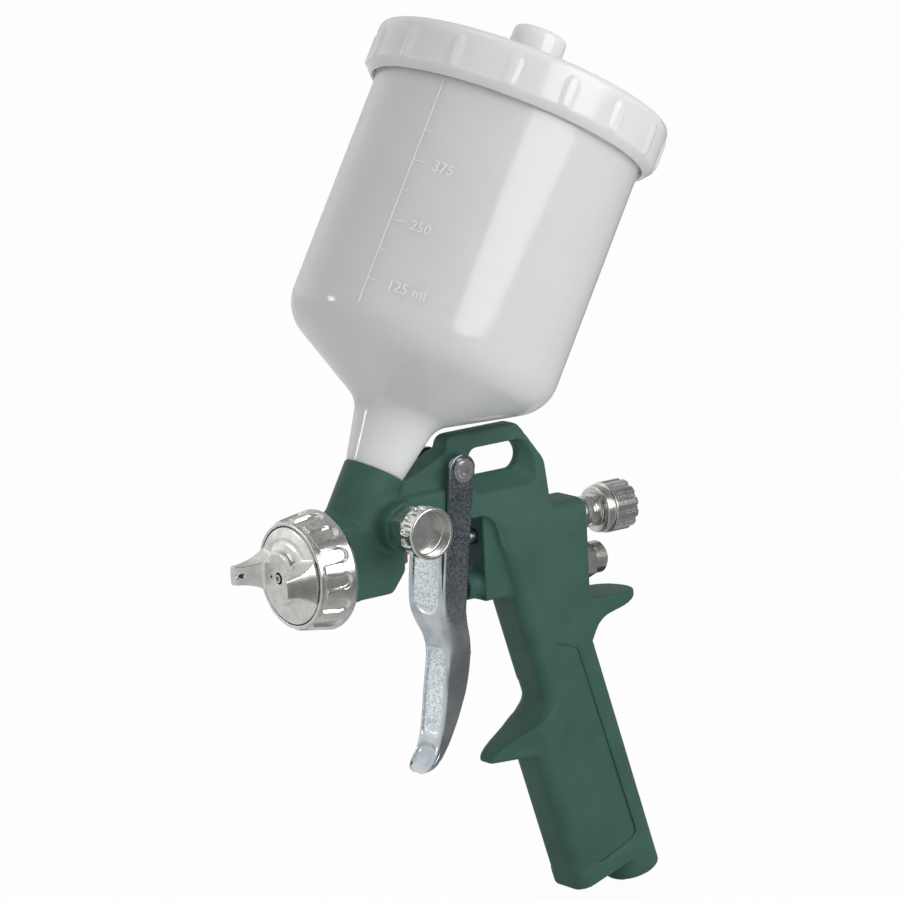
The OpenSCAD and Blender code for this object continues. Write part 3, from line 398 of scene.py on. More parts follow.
finishForms = {  # colours from dark to pale, roughness from low to high, grain sizes and bump heights in mm
    "body_green": {
        "name": "powderCoatGreen", "dark": (0.042, 0.105, 0.086), "pale": (0.050, 0.120, 0.098),
        "roughness": (0.42, 0.58), "fine": 0.45, "broad": 14, "bump": 0.07, "extra": powdered},
    "plated": {
        "name": "satinNickel", "dark": (0.60, 0.60, 0.58), "pale": (0.74, 0.73, 0.71),
        "roughness": (0.2, 0.28), "fine": 0.4, "broad": 3.5, "bump": 0.003, "waves": 0.03, "metallic": 1.0},
    "zinc": {
        "name": "spangledZinc", "dark": (0.42, 0.47, 0.51), "pale": (0.58, 0.61, 0.62), "tone": (0.35, 0.65),
        "roughness": (0.1, 0.15), "fine": 0.5, "broad": 9, "bump": 0.002, "waves": 0.04, "metallic": 1.0,
        "extra": spangled},
    "cup_white": {
        "name": "milkyPolypropylene", "dark": (0.77, 0.78, 0.78), "pale": (0.80, 0.81, 0.81),
        "roughness": (0.1, 0.15), "fine": 0.6, "broad": 30, "bump": 0.0015, "extra": milky},
    "steel": {
        "name": "groundSteel", "dark": (0.5, 0.5, 0.51), "pale": (0.62, 0.62, 0.63),
        "roughness": (0.2, 0.36), "fine": 0.3, "broad": 4, "bump": 0.003, "metallic": 1.0},
    "brass": {
        "name": "tarnishedBrass", "dark": (0.34, 0.27, 0.15), "pale": (0.44, 0.35, 0.2),
        "roughness": (0.22, 0.36), "fine": 0.3, "broad": 4, "bump": 0.003, "metallic": 1.0},
    "rubber": {
        "name": "blackRubber", "dark": (0.018, 0.018, 0.018), "pale": (0.03, 0.03, 0.03),
        "roughness": (0.6, 0.75), "fine": 0.3, "broad": 5, "bump": 0.02},
    "seal_white": {
        "name": "sealWhite", "dark": (0.74, 0.74, 0.71), "pale": (0.8, 0.8, 0.77),
        "roughness": (0.4, 0.55), "fine": 0.4, "broad": 6, "bump": 0.006},
}
finishes = {slot: finish(**form) for slot, form in finishForms.items()}
for name, node in nodes.items():
    node.data.materials.clear()
    node.data.materials.append(finishes[slotOf[name]])
print("finishes made")

# mesh tools, all in millimetres


def rounded(points, steps=6):  # a profile with its fillets drawn, from corners of (radius, height, fillet)
    line = []
    for i, point in enumerate(points):
        here = Vector(point[:2])
        fillet = point[2] if len(point) > 2 else 0
        if not fillet:
            line.append(here)
            continue
        a = (Vector(points[i - 1][:2]) - here).normalized()
        b = (Vector(points[(i + 1) % len(points)][:2]) - here).normalized()
        half = a.angle(b) / 2
        centre = here + (a + b).normalized() * fillet / math.sin(half)
        start, end = (here + way * fillet / math.tan(half) - centre for way in (a, b))
        sweep = start.angle(end)
        for k in range(steps + 1):
            t = k / steps
            arm = math.sin((1 - t) * sweep) * start + math.sin(t * sweep) * end
            line.append(centre + arm / math.sin(sweep))
    return line


def sampled(line, step):  # the closed profile with no stretch longer than the step
    dense = []
    for a, b in zip(line, line[1:] + line[:1]):
        count = max(1, math.ceil((b - a).length / step))
        dense += [a.lerp(b, k / count) for k in range(count)]
    return dense


def shaded(mesh, angle):  # smooth, but for edges sharper than the angle
    mesh.polygons.foreach_set("use_smooth", [True] * len(mesh.polygons))
    mesh.set_sharp_from_angle(angle=math.radians(angle))


def cleaned(mesh, distance=1e-4):  # with doubles merged and its faces pointing outwards
    work = bmesh.new()
    work.from_mesh(mesh)
    bmesh.ops.remove_doubles(work, verts=work.verts, dist=distance)
    bmesh.ops.dissolve_degenerate(work, edges=work.edges, dist=distance)
    bmesh.ops.recalc_face_normals(work, faces=work.faces)
    work.to_mesh(mesh)
    work.free()
    return mesh


def lathe(name, line, sides):  # the closed profile of radius and height, revolved round Z
    turn = [(math.cos(2 * math.pi * k / sides), math.sin(2 * math.pi * k / sides)) for k in range(sides)]
    points = [(p.x * c, p.x * s, p.y) for p in line for c, s in turn]
    n = len(line)
    faces = []
    for i in range(n):
        j = (i + 1) % n
        if line[i].x < 1e-6 and line[j].x < 1e-6:  # both on the axis
            continue
        faces += [(i * sides + k, i * sides + (k + 1) % sides, j * sides + (k + 1) % sides, j * sides + k)
                  for k in range(sides)]
    mesh = bpy.data.meshes.new(name)
    mesh.from_pydata(points, [], faces)
    return cleaned(mesh)


def evaluated(data, *steps):  # the plain mesh of some data after the modifiers that the steps add
    holder = bpy.data.objects.new("workpiece", data)
    scene.collection.objects.link(holder)
    for step in steps:
        step(holder)
    bpy.context.view_layer.update()
    result = bpy.data.meshes.new_from_object(holder.evaluated_get(bpy.context.evaluated_depsgraph_get()))
    bpy.data.objects.remove(holder)
    return result


def voxels(size):
    def step(holder):
        remesh = holder.modifiers.new("voxels", "REMESH")
        remesh.mode, remesh.voxel_size, remesh.use_smooth_shade = "VOXEL", size, True
    return step


def thinned(share):
    def step(holder):
        holder.modifiers.new("thinned", "DECIMATE").ratio = share
    return step


def places(mesh):  # all its corners as an array
    spots = np.empty(len(mesh.vertices) * 3, dtype=np.float32)
    mesh.vertices.foreach_get("co", spots)
    return spots.reshape(-1, 3).astype(np.float64)


def moved(mesh, spots):
    mesh.vertices.foreach_set("co", spots.astype(np.float32).ravel())
    mesh.update()
    return mesh


def facing(mesh):  # its normal at each corner
    normals = np.empty(len(mesh.vertices) * 3, dtype=np.float32)
    mesh.vertex_normals.foreach_get("vector", normals)
    return normals.reshape(-1, 3)


def swollen(mesh, distance):  # every corner moved along its normal
    return moved(mesh, places(mesh) + distance * facing(mesh))


def marked(mesh, name, values):  # keeps a value for each corner that the finish reads
    kept = mesh.attributes.new(name, "FLOAT", "POINT")
    kept.data.foreach_set("value", np.asarray(values, dtype=np.float32))


easing = (0.55, -0.57)  # a step in and a step out, which together keep the volume


def relaxed(mesh, rounds):  # each corner moved towards its neighbours' mean, and back out
    pairs = np.empty(len(mesh.edges) * 2, dtype=np.int32)
    mesh.edges.foreach_get("vertices", pairs)
    a, b = pairs.reshape(-1, 2).T
    count = len(mesh.vertices)
    ends, others = np.concatenate((a, b)), np.concatenate((b, a))
    degree = np.maximum(np.bincount(ends, minlength=count), 1)
    spots = places(mesh)
    for k in range(rounds):
        sums = np.stack([np.bincount(ends, spots[others, i], count) for i in range(3)], 1)
        spots += easing[k % 2] * (sums / degree[:, None] - spots)
    return moved(mesh, spots)


def soft(mesh, voxel, fillet, rounds, most):  # one skin with filled inner corners and eased edges
    mesh = evaluated(mesh, voxels(voxel))
    if fillet:
        mesh = evaluated(swollen(mesh, fillet), voxels(voxel))
        mesh = swollen(mesh, -fillet)
    mesh = relaxed(mesh, rounds)
    triangles = 2 * len(mesh.polygons)
    if triangles > most:
        mesh = evaluated(mesh, thinned(most / triangles))
    return mesh


def cadCopy(node):  # a node's mesh in millimetres from the spray point, with its corners joined
    mesh = nodes[node].data.copy()
    mesh.transform(gunAxes.inverted())
    return cleaned(mesh)


def dressed(name, mesh, node, where, angle=38, paint=None):  # a finished mesh that rides with a node's body
    mesh.transform(where)
    mesh.name = name
    shaded(mesh, angle)
    mesh.materials.clear()
    mesh.materials.append(paint or finishes[slotOf[node]])
    made = bpy.data.objects.new(name, mesh)
    scene.collection.objects.link(made)
    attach(made, bodyOf[node])
    return made


def piece(name, mesh, node, where, angle=38):  # puts a finished mesh in the place of a node
    made = dressed(name, mesh, node, where, angle)
    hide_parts(node)
    return made


# Geometry Nodes for relief and threads


def geometryTree(name, sizes):  # a tree that takes a mesh, its sizes and a finish
    tree = bpy.data.node_groups.new(name, "GeometryNodeTree")
    sockets = [("Geometry", "Geometry"), *((size, "Float") for size in sizes), ("Finish", "Material")]
    for label, kind in sockets:
        tree.interface.new_socket(label, in_out="INPUT", socket_type="NodeSocket" + kind)
    tree.interface.new_socket("Geometry", in_out="OUTPUT", socket_type="NodeSocketGeometry")
    return tree, tree.nodes.new("NodeGroupInput").outputs


def endTree(tree, geometry, paint):  # real faces in their finish
    whole, coat = tree.nodes.new("GeometryNodeRealizeInstances"), tree.nodes.new("GeometryNodeSetMaterial")
    feed(tree, geometry, whole.inputs[0])
    feed(tree, whole.outputs[0], coat.inputs["Geometry"])
    feed(tree, paint, coat.inputs["Material"])
    feed(tree, coat.outputs[0], tree.nodes.new("NodeGroupOutput").inputs[0])
    return tree


def shapedBy(tree, values):
    def step(holder):
        modifier = holder.modifiers.new(tree.name, "NODES")
        modifier.node_group = tree
        for item in tree.interface.items_tree:
            if item.in_out == "INPUT" and item.name in values:
                modifier[item.identifier] = values[item.name]
    return step


def reliefGroup():  # pushes pill shapes, spaced evenly round Z, into or out of a turned mesh
    sizes = ("Count", "Turn", "Half Width", "Depth", "Front", "Rear", "Edge", "Inner Radius")
    tree, asked = geometryTree("radialRelief", sizes)
    fullTurn = 2 * math.pi
    wholeTurns = 64.0  # added so that no share of a turn is below zero

    def times(a, b):
        return maths(tree, "MULTIPLY", a, b)

    def less(a, b):
        return maths(tree, "SUBTRACT", a, b)

    def reach(a, b):
        return maths(tree, "SQRT", maths(tree, "ADD", times(a, a), times(b, b)))

    split = tree.nodes.new("ShaderNodeSeparateXYZ")
    feed(tree, tree.nodes.new("GeometryNodeInputPosition").outputs[0], split.inputs[0])
    x, y, z = split.outputs
    radius = reach(x, y)
    turns = maths(tree, "DIVIDE", times(maths(tree, "ARCTAN2", y, x), asked["Count"]), fullTurn)
    turns = maths(tree, "ADD", maths(tree, "ADD", turns, asked["Turn"]), wholeTurns)
    share = less(maths(tree, "FRACT", turns), 0.5)  # from the middle of the nearest shape
    angle = maths(tree, "DIVIDE", times(share, fullTurn), asked["Count"])
    beyond = maths(tree, "MAXIMUM", less(z, asked["Rear"]), less(asked["Front"], z))
    away = reach(times(angle, radius), maths(tree, "MAXIMUM", beyond, 0.0))
    mask = ramp(tree, away, less(asked["Half Width"], asked["Edge"]), asked["Half Width"], 1.0, 0.0)
    outside = maths(tree, "GREATER_THAN", radius, asked["Inner Radius"])
    push = maths(tree, "DIVIDE", times(times(mask, outside), asked["Depth"]), radius)
    shift = tree.nodes.new("ShaderNodeCombineXYZ")
    for axis, socket in zip((x, y), shift.inputs):
        feed(tree, times(times(push, axis), -1.0), socket)
    place = tree.nodes.new("GeometryNodeSetPosition")
    feed(tree, asked["Geometry"], place.inputs["Geometry"])
    feed(tree, shift.outputs[0], place.inputs["Offset"])
    return endTree(tree, place.outputs[0], asked["Finish"])


def threadGroup():  # a ridge wound round Z
    tree, asked = geometryTree("woundThread", ("Turns", "Radius", "Height", "Ridge"))
    spiral = tree.nodes.new("GeometryNodeCurveSpiral")
    spiral.inputs["Resolution"].default_value = 40
    ends = {"Rotations": "Turns", "Start Radius": "Radius", "End Radius": "Radius", "Height": "Height"}
    for key, size in ends.items():
        feed(tree, asked[size], spiral.inputs[key])
    section = tree.nodes.new("GeometryNodeCurvePrimitiveCircle")
    section.inputs["Resolution"].default_value = 6
    feed(tree, asked["Ridge"], section.inputs["Radius"])
    ridge = tree.nodes.new("GeometryNodeCurveToMesh")
    feed(tree, spiral.outputs[0], ridge.inputs["Curve"])
    feed(tree, section.outputs[0], ridge.inputs["Profile Curve"])
    ridge.inputs["Fill Caps"].default_value = True
    both = tree.nodes.new("GeometryNodeJoinGeometry")
    feed(tree, ridge.outputs[0], both.inputs[0])
    feed(tree, asked["Geometry"], both.inputs[0])
    return endTree(tree, both.outputs[0], asked["Finish"])


reliefTree, threadTree = reliefGroup(), threadGroup()


def turned(name, profile, node, where, form, relief=None, angle=38):  # a turned piece, with relief round it
    steps, longest, sides = form["mesh"]
    mesh = lathe(name, sampled(rounded(profile, steps), longest), sides)
    if relief:
        mesh = evaluated(mesh, shapedBy(reliefTree, dict(relief, Finish=finishes[slotOf[node]])))
    piece(name, mesh, node, where, angle)


# gun body

bodyForm = {
    "firstVoxel": 0.4, "voxel": 0.5, "fillet": 1.1, "rounds": 4, "triangles": 175000, "smooth": 60,
    # the handle: lean in degrees, place in X, half widths, front faces, corner radius, spans down its axis
    "lean": 16.7, "gripX": -95.8, "half": 8.8, "rimHalf": 9.3, "upper": 18.2, "lower": 27.6, "corner": 5.0,
    "upperSpan": (47, 79), "lowerSpan": (63.6, 120), "rimSpan": (118, 123.5),
    "stopCut": ((13.2, -15, -75.8), (60, 15, -50)),  # takes the solid's finger stop away, in the handle's axes
    "stopReach": 43.5,
    "stop": [  # distance down the handle's axis, share of the finger stop's reach
        (54, -0.012), (56, 0.008), (57.6, 0.043), (58.8, 0.103), (60.8, 0.237), (61.7, 0.372), (62.4, 0.577),
        (63.1, 0.763), (63.9, 0.885), (64.6, 0.949), (65.4, 0.988), (66.2, 1.0), (67, 0.984), (67.4, 0.941),
        (69, 0.743), (71, 0.478), (72.6, 0.269)],
    "stopPlan": ((0, 0.15, 0.41, 0.8, 0.93, 1), (8.7, 7.5, 5.6, 4.6, 4.0, 2.4)),  # share of reach, half width
    # the hanging slot in X and Z, its corners, and how its mouth widens below and behind, and above and before
    "slot": (-91.0, -69.6, 20.1, 29.6), "slotCorner": 3.4, "slotFlare": 5.6, "slotLift": 0.4,
    "slotLand": 1.2, "slotReach": 7.0, "slotCut": (10.0, 12.0),  # distances across the hook
    "panel": [  # the handle's side panel: forward of its axis, distance down it, corner radius
        (10.2, 37, 2), (1.1, 44, 2.5), (0, 116, 3), (19, 118, 3), (19.8, 92, 9), (13.9, 57, 9)],
    "panelFloor": 8.45, "panelOut": 14, "panelMark": (8.43, 8.6), "panelTop": -20, "panelFlat": 0.99,
    "flangeSide": ((-19.6, 10.4, -20), (-13.3, 19.6, 20)),  # these two take the flange behind the ring away
    "flangeFoot": ((-19.6, -20, -20), (-13.3, 20, -10.4)),
    "spur": (-126.0, 10.8, 9.2),  # the rounding of the rear spur's end: middle in X, half length and half width
    "spurCut": (24, 15, -45, -18),  # what is taken away round it: length, half width, both ends in Z
    "cheek": ((-81.5, 2.0, -17.0), (-76.5, 6.0, 4.0)),  # closes the side of the valve's housing
    "fanBoss": (-34.4, 12.0, 8.0, 9.0, 16.4),  # its middle in X and Z, radius, both ends in Y
}
gripLean = Matrix.Rotation(math.radians(bodyForm["lean"]), 4, "Y")
gripTurn = Matrix.Translation((bodyForm["gripX"], 0, 0)) @ gripLean


def circle(count):  # cosine and sine for so many points round a circle
    return [(math.cos(a), math.sin(a)) for a in np.linspace(0, 2 * math.pi, count, False)]


def loft(name, rings):  # a closed skin over rings of equal count
    work = bmesh.new()
    rows = [[work.verts.new(p) for p in ring] for ring in rings]
    n = len(rows[0])
    for a, b in zip(rows, rows[1:]):
        for k in range(n):
            work.faces.new((a[k], a[(k + 1) % n], b[(k + 1) % n], b[k]))
    work.faces.new(rows[0])
    work.faces.new(rows[-1])
    bmesh.ops.recalc_face_normals(work, faces=work.faces)
    mesh = bpy.data.meshes.new(name)
    work.to_mesh(mesh)
    work.free()
    return mesh


def carved(mesh, cuts, operation="DIFFERENCE"):  # the mesh with closed shapes cut out of it or joined to it
    others = []

    def step(holder):
        for shape in cuts:
            other = bpy.data.objects.new("cutter", shape)
            scene.collection.objects.link(other)
            cut = holder.modifiers.new("cut", "BOOLEAN")
            cut.operation, cut.solver, cut.object = operation, "MANIFOLD", other
            others.append(other)

    mesh = evaluated(mesh, step)
    for other in others:
        bpy.data.objects.remove(other)
    return mesh


def joined(*meshes):  # several meshes as one
    work = bmesh.new()
    for mesh in meshes:
        work.from_mesh(mesh)
    whole = bpy.data.meshes.new("joined")
    work.to_mesh(whole)
    work.free()
    return whole


def block(low, high):
    (x0, y0, z0), (x1, y1, z1) = low, high
    return loft("block", [[(x0, y0, z), (x1, y0, z), (x1, y1, z), (x0, y1, z)] for z in (z0, z1)])


def sideBlock(ends, side):  # a block on the gun's left, 1, or on its right, -1
    return block(*((x, side * y, z) for x, y, z in ends))


def gripRing(front, down, half):  # the handle's cross-section at a distance down its axis
    r = bodyForm["corner"]
    quarter, semicircle = np.linspace(0, math.pi / 2, 7), np.linspace(math.pi, 0, 13)
    side = [(front - r + r * math.sin(a), half - r + r * math.cos(a)) for a in quarter]
    rear = [(-half * math.sin(a), -half * math.cos(a)) for a in semicircle]
    ring = [(x, -y) for x, y in side] + side[::-1] + rear[1:-1]
    return [gripTurn @ Vector((x, y, -down)) for x, y in ring]


def stopRing(down, share):  # one level of the finger stop, which leaves the handle's front at its corners
    f = bodyForm
    front = f["upper"] + (f["stopReach"] - f["upper"]) * share
    part = min(front, f["lower"])
    start, k = part - f["corner"], (front - part) / (f["stopReach"] - f["lower"])
    side = []
    for a in np.linspace(0, math.pi / 2, 11):
        plan = float(np.interp(math.sin(a), *f["stopPlan"]))
        grip = f["half"] - f["corner"] * (1 - math.cos(a))
        side.append((start + (front - start) * math.sin(a), (1 - k) * grip + k * plan))
    ring = [(0, -f["half"])] + [(x, -y) for x, y in side] + side[::-1] + [(0, f["half"])]
    return [gripTurn @ Vector((x, y, -down)) for x, y in ring]


def slotRing(grow, y):  # the hanging slot's outline at a distance across the hook
    f = bodyForm
    x0, x1, z0, z1 = f["slot"]
    flare, lift, r = f["slotFlare"] * grow, f["slotLift"] * grow, f["slotCorner"]
    x0, x1, z0, z1 = x0 - flare, x1 + lift, z0 - flare, z1 + lift
    return [(p.x, y, p.y) for p in rounded([(x0, z0, r), (x1, z0, r), (x1, z1, r), (x0, z1, r)])]


def panelRing(y):
    return [gripTurn @ Vector((p.x, y, -p.y)) for p in rounded(bodyForm["panel"])]


def bodyCuts():  # what is taken from the solid's shape
    f = bodyForm
    stopCut = block(*f["stopCut"])
    stopCut.transform(gripTurn)
    mouthEnd, throatEnd = f["slotCut"]
    cuts = [stopCut, loft("throat", [slotRing(0, y) for y in (-throatEnd, throatEnd)])]
    for side in (-1, 1):
        rings = ((0, f["slotLand"]), (1, f["slotReach"]), (1, mouthEnd))
        cuts.append(loft("mouth", [slotRing(grow, side * y) for grow, y in rings]))
        cuts.append(sideBlock(f["flangeSide"], side))
    cuts.append(block(*f["flangeFoot"]))
    x, long, wide = f["spur"]
    length, half, *heights = f["spurCut"]
    plan = [(x - long * math.cos(a), wide * math.sin(a)) for a in np.linspace(math.pi / 2, -math.pi / 2, 33)]
    plan += [(x, -half), (x - length, -half), (x - length, half), (x, half)]
    cuts.append(loft("spurEnd", [[(a, b, z) for a, b in plan] for z in heights]))
    return cuts


def bodyAdditions():  # what is put on it
    f = bodyForm
    x, z, r, *ends = f["fanBoss"]
    return [
        loft("upperGrip", [gripRing(f["upper"], down, f["half"]) for down in f["upperSpan"]]),
        loft("fingerStop", [stopRing(down, share) for down, share in f["stop"]]),
        loft("lowerGrip", [gripRing(f["lower"], down, f["half"]) for down in f["lowerSpan"]]),
        loft("lowerRim", [gripRing(f["lower"], down, f["rimHalf"]) for down in f["rimSpan"]]),
        loft("fanBoss", [[(x + r * c, y, z + r * s) for c, s in circle(48)] for y in ends]),
        *[sideBlock(f["cheek"], side) for side in (-1, 1)]]


def buildBody():
    f = bodyForm
    mesh = carved(evaluated(cadCopy("gun_body"), voxels(f["firstVoxel"])), bodyCuts())
    mesh = soft(joined(mesh, *bodyAdditions()), f["voxel"], f["fillet"], f["rounds"], f["triangles"])
    heights = (f["panelFloor"], f["panelOut"])
    mesh = carved(mesh, [loft("panel", [panelRing(side * y) for y in heights]) for side in (-1, 1)])
    spots, flat = places(mesh), np.abs(facing(mesh)[:, 1]) > f["panelFlat"]
    low, high = f["panelMark"]
    aside = np.abs(spots[:, 1])
    marked(mesh, "panel", (aside > low) & (aside < high) & flat & (spots[:, 2] < f["panelTop"]))
    piece("castBody", mesh, "gun_body", gunAxes, f["smooth"])


buildBody()
print("body built")

# cup, lid and vent

cupForm = {
    "mesh": (10, 6, 192),  # steps in an arc, longest stretch in mm, sides
    "spigotEnd": 24.5, "port": 32.5, "funnel": 52.0, "shoulder": 70.6, "mouth": 165.5, "bandHeight": 11.0,
    "bore": 5.2, "spigot": 7.0, "neckFoot": 9.6, "neckTop": 13.6, "radius": 45.0, "bandRadius": 46.0,
    "wall": 1.8,
}


def buildCup():
    f = cupForm
    r, mouth, band, wall = f["radius"], f["mouth"], f["bandRadius"], f["wall"]
    foot = mouth - f["bandHeight"]
    outside = [
        (f["spigot"], f["spigotEnd"]), (f["spigot"], f["port"]), (f["neckFoot"], f["port"], 0.4),
        (f["neckTop"], f["funnel"], 9), (r, f["shoulder"], 14), (r, foot, 0.5),
        (band, foot, 0.4), (band, mouth - 1, 0.6), (r, mouth, 0.4)]
    inside = [
        (r - wall, mouth, 0.5), (r - wall, f["shoulder"] + 1, 12.2),
        (f["neckTop"] - wall, f["funnel"] + 1.4, 9), (f["bore"], f["port"] + 1, 2), (f["bore"], f["spigotEnd"])]
    turned("paintCup", outside + inside, "paint_cup", cupAxes, f)


lidForm = {
    "mesh": (8, 0.9, 16 * 24),
    "bottom": 152.1, "under": 167.1, "top": 168.95, "nippleTop": 177.95, "flare": 2.8,  # heights
    "skirt": 46.3, "foot": 47.1, "radius": 49.45, "edge": 2.4, "nipple": 5.6, "airHole": 1.2,  # radii
    "ribs": {"Count": 16, "Turn": 0.378, "Half Width": 2.2, "Depth": -0.55, "Front": 156.5, "Rear": 163.2,
             "Edge": 0.9, "Inner Radius": 48.5},
}


def buildLid():
    f = lidForm
    bottom, top = f["bottom"], f["top"]
    profile = [
        (f["skirt"], bottom, 0.3), (f["foot"], bottom, 0.3), (f["radius"], bottom + f["flare"], 1.2),
        (f["radius"], top, f["edge"]), (f["nipple"], top), (f["nipple"], f["nippleTop"], 0.4),
        (f["airHole"], f["nippleTop"]), (f["airHole"], f["under"]), (f["skirt"], f["under"], 0.6)]
    turned("cupLid", profile, "cup_lid", cupAxes, f, f["ribs"])


ventForm = {"mesh": (8, 3, 96), "bore": 5.63, "foot": 9.4, "head": 8.8, "edge": 1.8,
            "bottom": 169.1, "floor": 178.7, "top": 184.3}


def buildVent():
    f = ventForm
    profile = [
        (f["bore"], f["bottom"]), (f["foot"], f["bottom"], 0.4), (f["head"], f["top"], f["edge"]),
        (0, f["top"]), (0, f["floor"]), (f["bore"], f["floor"])]
    turned("ventCap", profile, "vent_cap", cupAxes, f)


scaleForm = {
    "turn": 21.5,  # degrees round the cup
    "low": 76.0, "high": 151.0, "line": 0.4, "rise": 0.1, "sunk": 0.3, "size": 4.8, "gap": 7.2, "drop": 0.35,
    "marks": [  # height up the cup, length of the mark, number beside it
        (134, 2.2, ""), (124, 4.0, "375"), (114, 2.2, ""), (104, 4.0, "250"), (94, 2.2, ""),
        (84, 4.0, "125 ml")],
    "finish": {
        "name": "paleScale", "dark": (0.84, 0.85, 0.85), "pale": (0.88, 0.89, 0.89),
        "roughness": (0.2, 0.3), "fine": 0.6, "broad": 30, "bump": 0.0015},
}


def numeral(words, size, depth):
    curve = bpy.data.curves.new("numeral", "FONT")
    curve.body, curve.size, curve.extrude, curve.resolution_u = words, size, depth, 4
    return evaluated(curve)


def buildScale():  # raised graduations, drawn flat and wrapped round the cup
    f = scaleForm
    half, rise, sunk = f["line"] / 2, f["rise"], f["sunk"]
    parts = [block((-half, f["low"], -sunk), (half, f["high"], rise))]
    for height, length, words in f["marks"]:
        parts.append(block((half, height - half, -sunk), (length, height + half, rise)))
        if words:
            figures = numeral(words, f["size"], rise)
            figures.transform(Matrix.Translation((f["gap"], height - f["drop"] * f["size"], 0)))
            parts.append(figures)
    mesh = cleaned(joined(*parts))
    across, height, lift = places(mesh).T
    r = cupForm["radius"]
    angle = math.radians(f["turn"]) + across / r
    moved(mesh, np.stack(((r + lift) * np.cos(angle), (r + lift) * np.sin(angle), height), 1))
    dressed("cupScale", mesh, "paint_cup", cupAxes, paint=finish(**f["finish"]))


buildCup()
buildScale()
buildLid()
buildVent()
print("cup built")

# spray head

ringForm = {
    "mesh": (5, 0.28, 14 * 28), "smooth": 50,
    "length": 13.0, "step": 1.7, "lipDepth": 1.8, "chamfer": (0.6, 1.2),
    "frontRadius": 17.1, "landRadius": 17.95, "rearRadius": 19.4, "lip": 15.95, "thread": 16.9,
    "recesses": {"Count": 14, "Turn": 0.0, "Half Width": 2.7, "Depth": 0.95, "Front": -20.0, "Rear": 7.9,
                 "Edge": 0.7, "Inner Radius": 17.2},
}


def buildRing():
    f = ringForm
    length, step, rear = f["length"], f["step"], f["rearRadius"]
    inward, forward = f["chamfer"]
    profile = [
        (f["lip"], 0.0, 0.3), (f["frontRadius"], 0.0, 0.45), (f["frontRadius"], step, 0.12),
        (f["landRadius"], step, 0.22), (rear, length - forward, 0.5), (rear - inward, length, 0.3),
        (f["thread"], length, 0.2), (f["thread"], f["lipDepth"]), (f["lip"], f["lipDepth"])]
    turned("capRing", profile, "cap_ring", sprayAxes, f, f["recesses"], f["smooth"])


capForm = {
    "voxel": 0.2, "fillet": 0.7, "rounds": 5, "triangles": 150000, "smooth": 60,
    "hornHole": (10.2, 0.8, 9.0, 14.3),  # distance before the ring, radius, and both ends from the spray axis
    "faceHole": (4.0, 0.5, 2.6, 5.5),  # distance from the spray axis, radius, and both ends before the ring
}


def buildAirCap():
    f = capForm
    mesh = soft(cadCopy("air_cap"), f["voxel"], f["fillet"], f["rounds"], f["triangles"])
    holes = []
    for side in (-1, 1):
        x, r, *ends = f["hornHole"]
        holes.append(loft("hornHole", [[(x + r * c, side * y, r * s) for c, s in circle(24)] for y in ends]))
        y, r, *ends = f["faceHole"]
        holes.append(loft("faceHole", [[(x, side * y + r * c, r * s) for c, s in circle(24)] for x in ends]))
    piece("airCap", carved(mesh, holes), "air_cap", gunAxes, f["smooth"])


buildRing()
buildAirCap()
print("spray head built")

# control knobs

fanForm = {
    "mesh": (6, 0.28, 12 * 24), "smooth": 50,
    "hubFoot": 22.2, "foot": 23.5, "length": 6.6, "recess": 4.2, "floor": 0.4, "chamfer": (0.8, 0.9),
    "bore": 2.23, "hub": 3.4, "radius": 8.4, "rim": 1.35,
    "grips": {"Count": 12, "Turn": 0.0, "Half Width": 1.75, "Depth": 1.0, "Front": 25.9, "Rear": 27.7,
              "Edge": 0.55, "Inner Radius": 7.6},
}


def buildFanKnob():
    f = fanForm
    foot, r = f["foot"], f["radius"]
    top, inner = foot + f["length"], r - f["rim"]
    inward, outward = f["chamfer"]
    profile = [
        (f["bore"], f["hubFoot"]), (f["hub"], f["hubFoot"]), (f["hub"], foot), (r - inward, foot, 0.3),
        (r, foot + outward, 0.4), (r, top, 0.7), (inner, top, 0.35), (inner, top - f["recess"], 0.3),
        (0, top - f["recess"]), (0, foot + f["floor"]), (f["bore"], foot + f["floor"])]
    turned("fanKnob", profile, "fan_knob", fanAxes, f, f["grips"], f["smooth"])


glandForm = {"foot": 7, "hexFoot": 10.4, "shoulder": 22.3, "top": 22.9, "bore": 3.8, "stem": 5, "hex": 7.5,
             "chamfer": 0.7, "turn": 30, "smooth": 20}


def buildFanGland():  # a hexagon
    f = glandForm
    bore, r = f["bore"], f["hex"]
    line = rounded([
        (bore, f["foot"]), (f["stem"], f["foot"]), (f["stem"], f["hexFoot"]), (r, f["hexFoot"]),
        (r, f["shoulder"]), (r - f["chamfer"], f["top"]), (bore, f["top"])])
    mesh = lathe("fanGland", line, 6)
    mesh.transform(Matrix.Rotation(math.radians(f["turn"]), 4, "Z"))
    piece("fanGland", mesh, "fan_gland", fanAxes, f["smooth"])


fluidForm = {
    "mesh": (6, 0.3, 12 * 24), "smooth": 50,
    "front": 123.7, "rear": 136.5, "floor": 132.0, "radius": 8.5, "bore": 5.5,
    "collar": [(0.7, 0, 0.6), (0.5, 2.2, 0.3), (1.2, 2.8, 0.3), (0, 3.4, 0.35)],  # inset, distance back, fillet
    "flutes": {"Count": 12, "Turn": 0.5, "Half Width": 1.35, "Depth": 0.65, "Front": 128.6, "Rear": 160.0,
               "Edge": 0.8, "Inner Radius": 6.0},
}


def buildFluidKnob():
    f = fluidForm
    r, front, rear = f["radius"], f["front"], f["rear"]
    collar = [(r - inset, front + behind, fillet) for inset, behind, fillet in f["collar"]]
    end = [(r, rear, 1.1), (0, rear), (0, f["floor"]), (f["bore"], f["floor"])]
    profile = [(f["bore"], front, 0.2), *collar, *end]
    turned("fluidKnob", profile, "fluid_knob", sprayAxes, f, f["flutes"], f["smooth"])


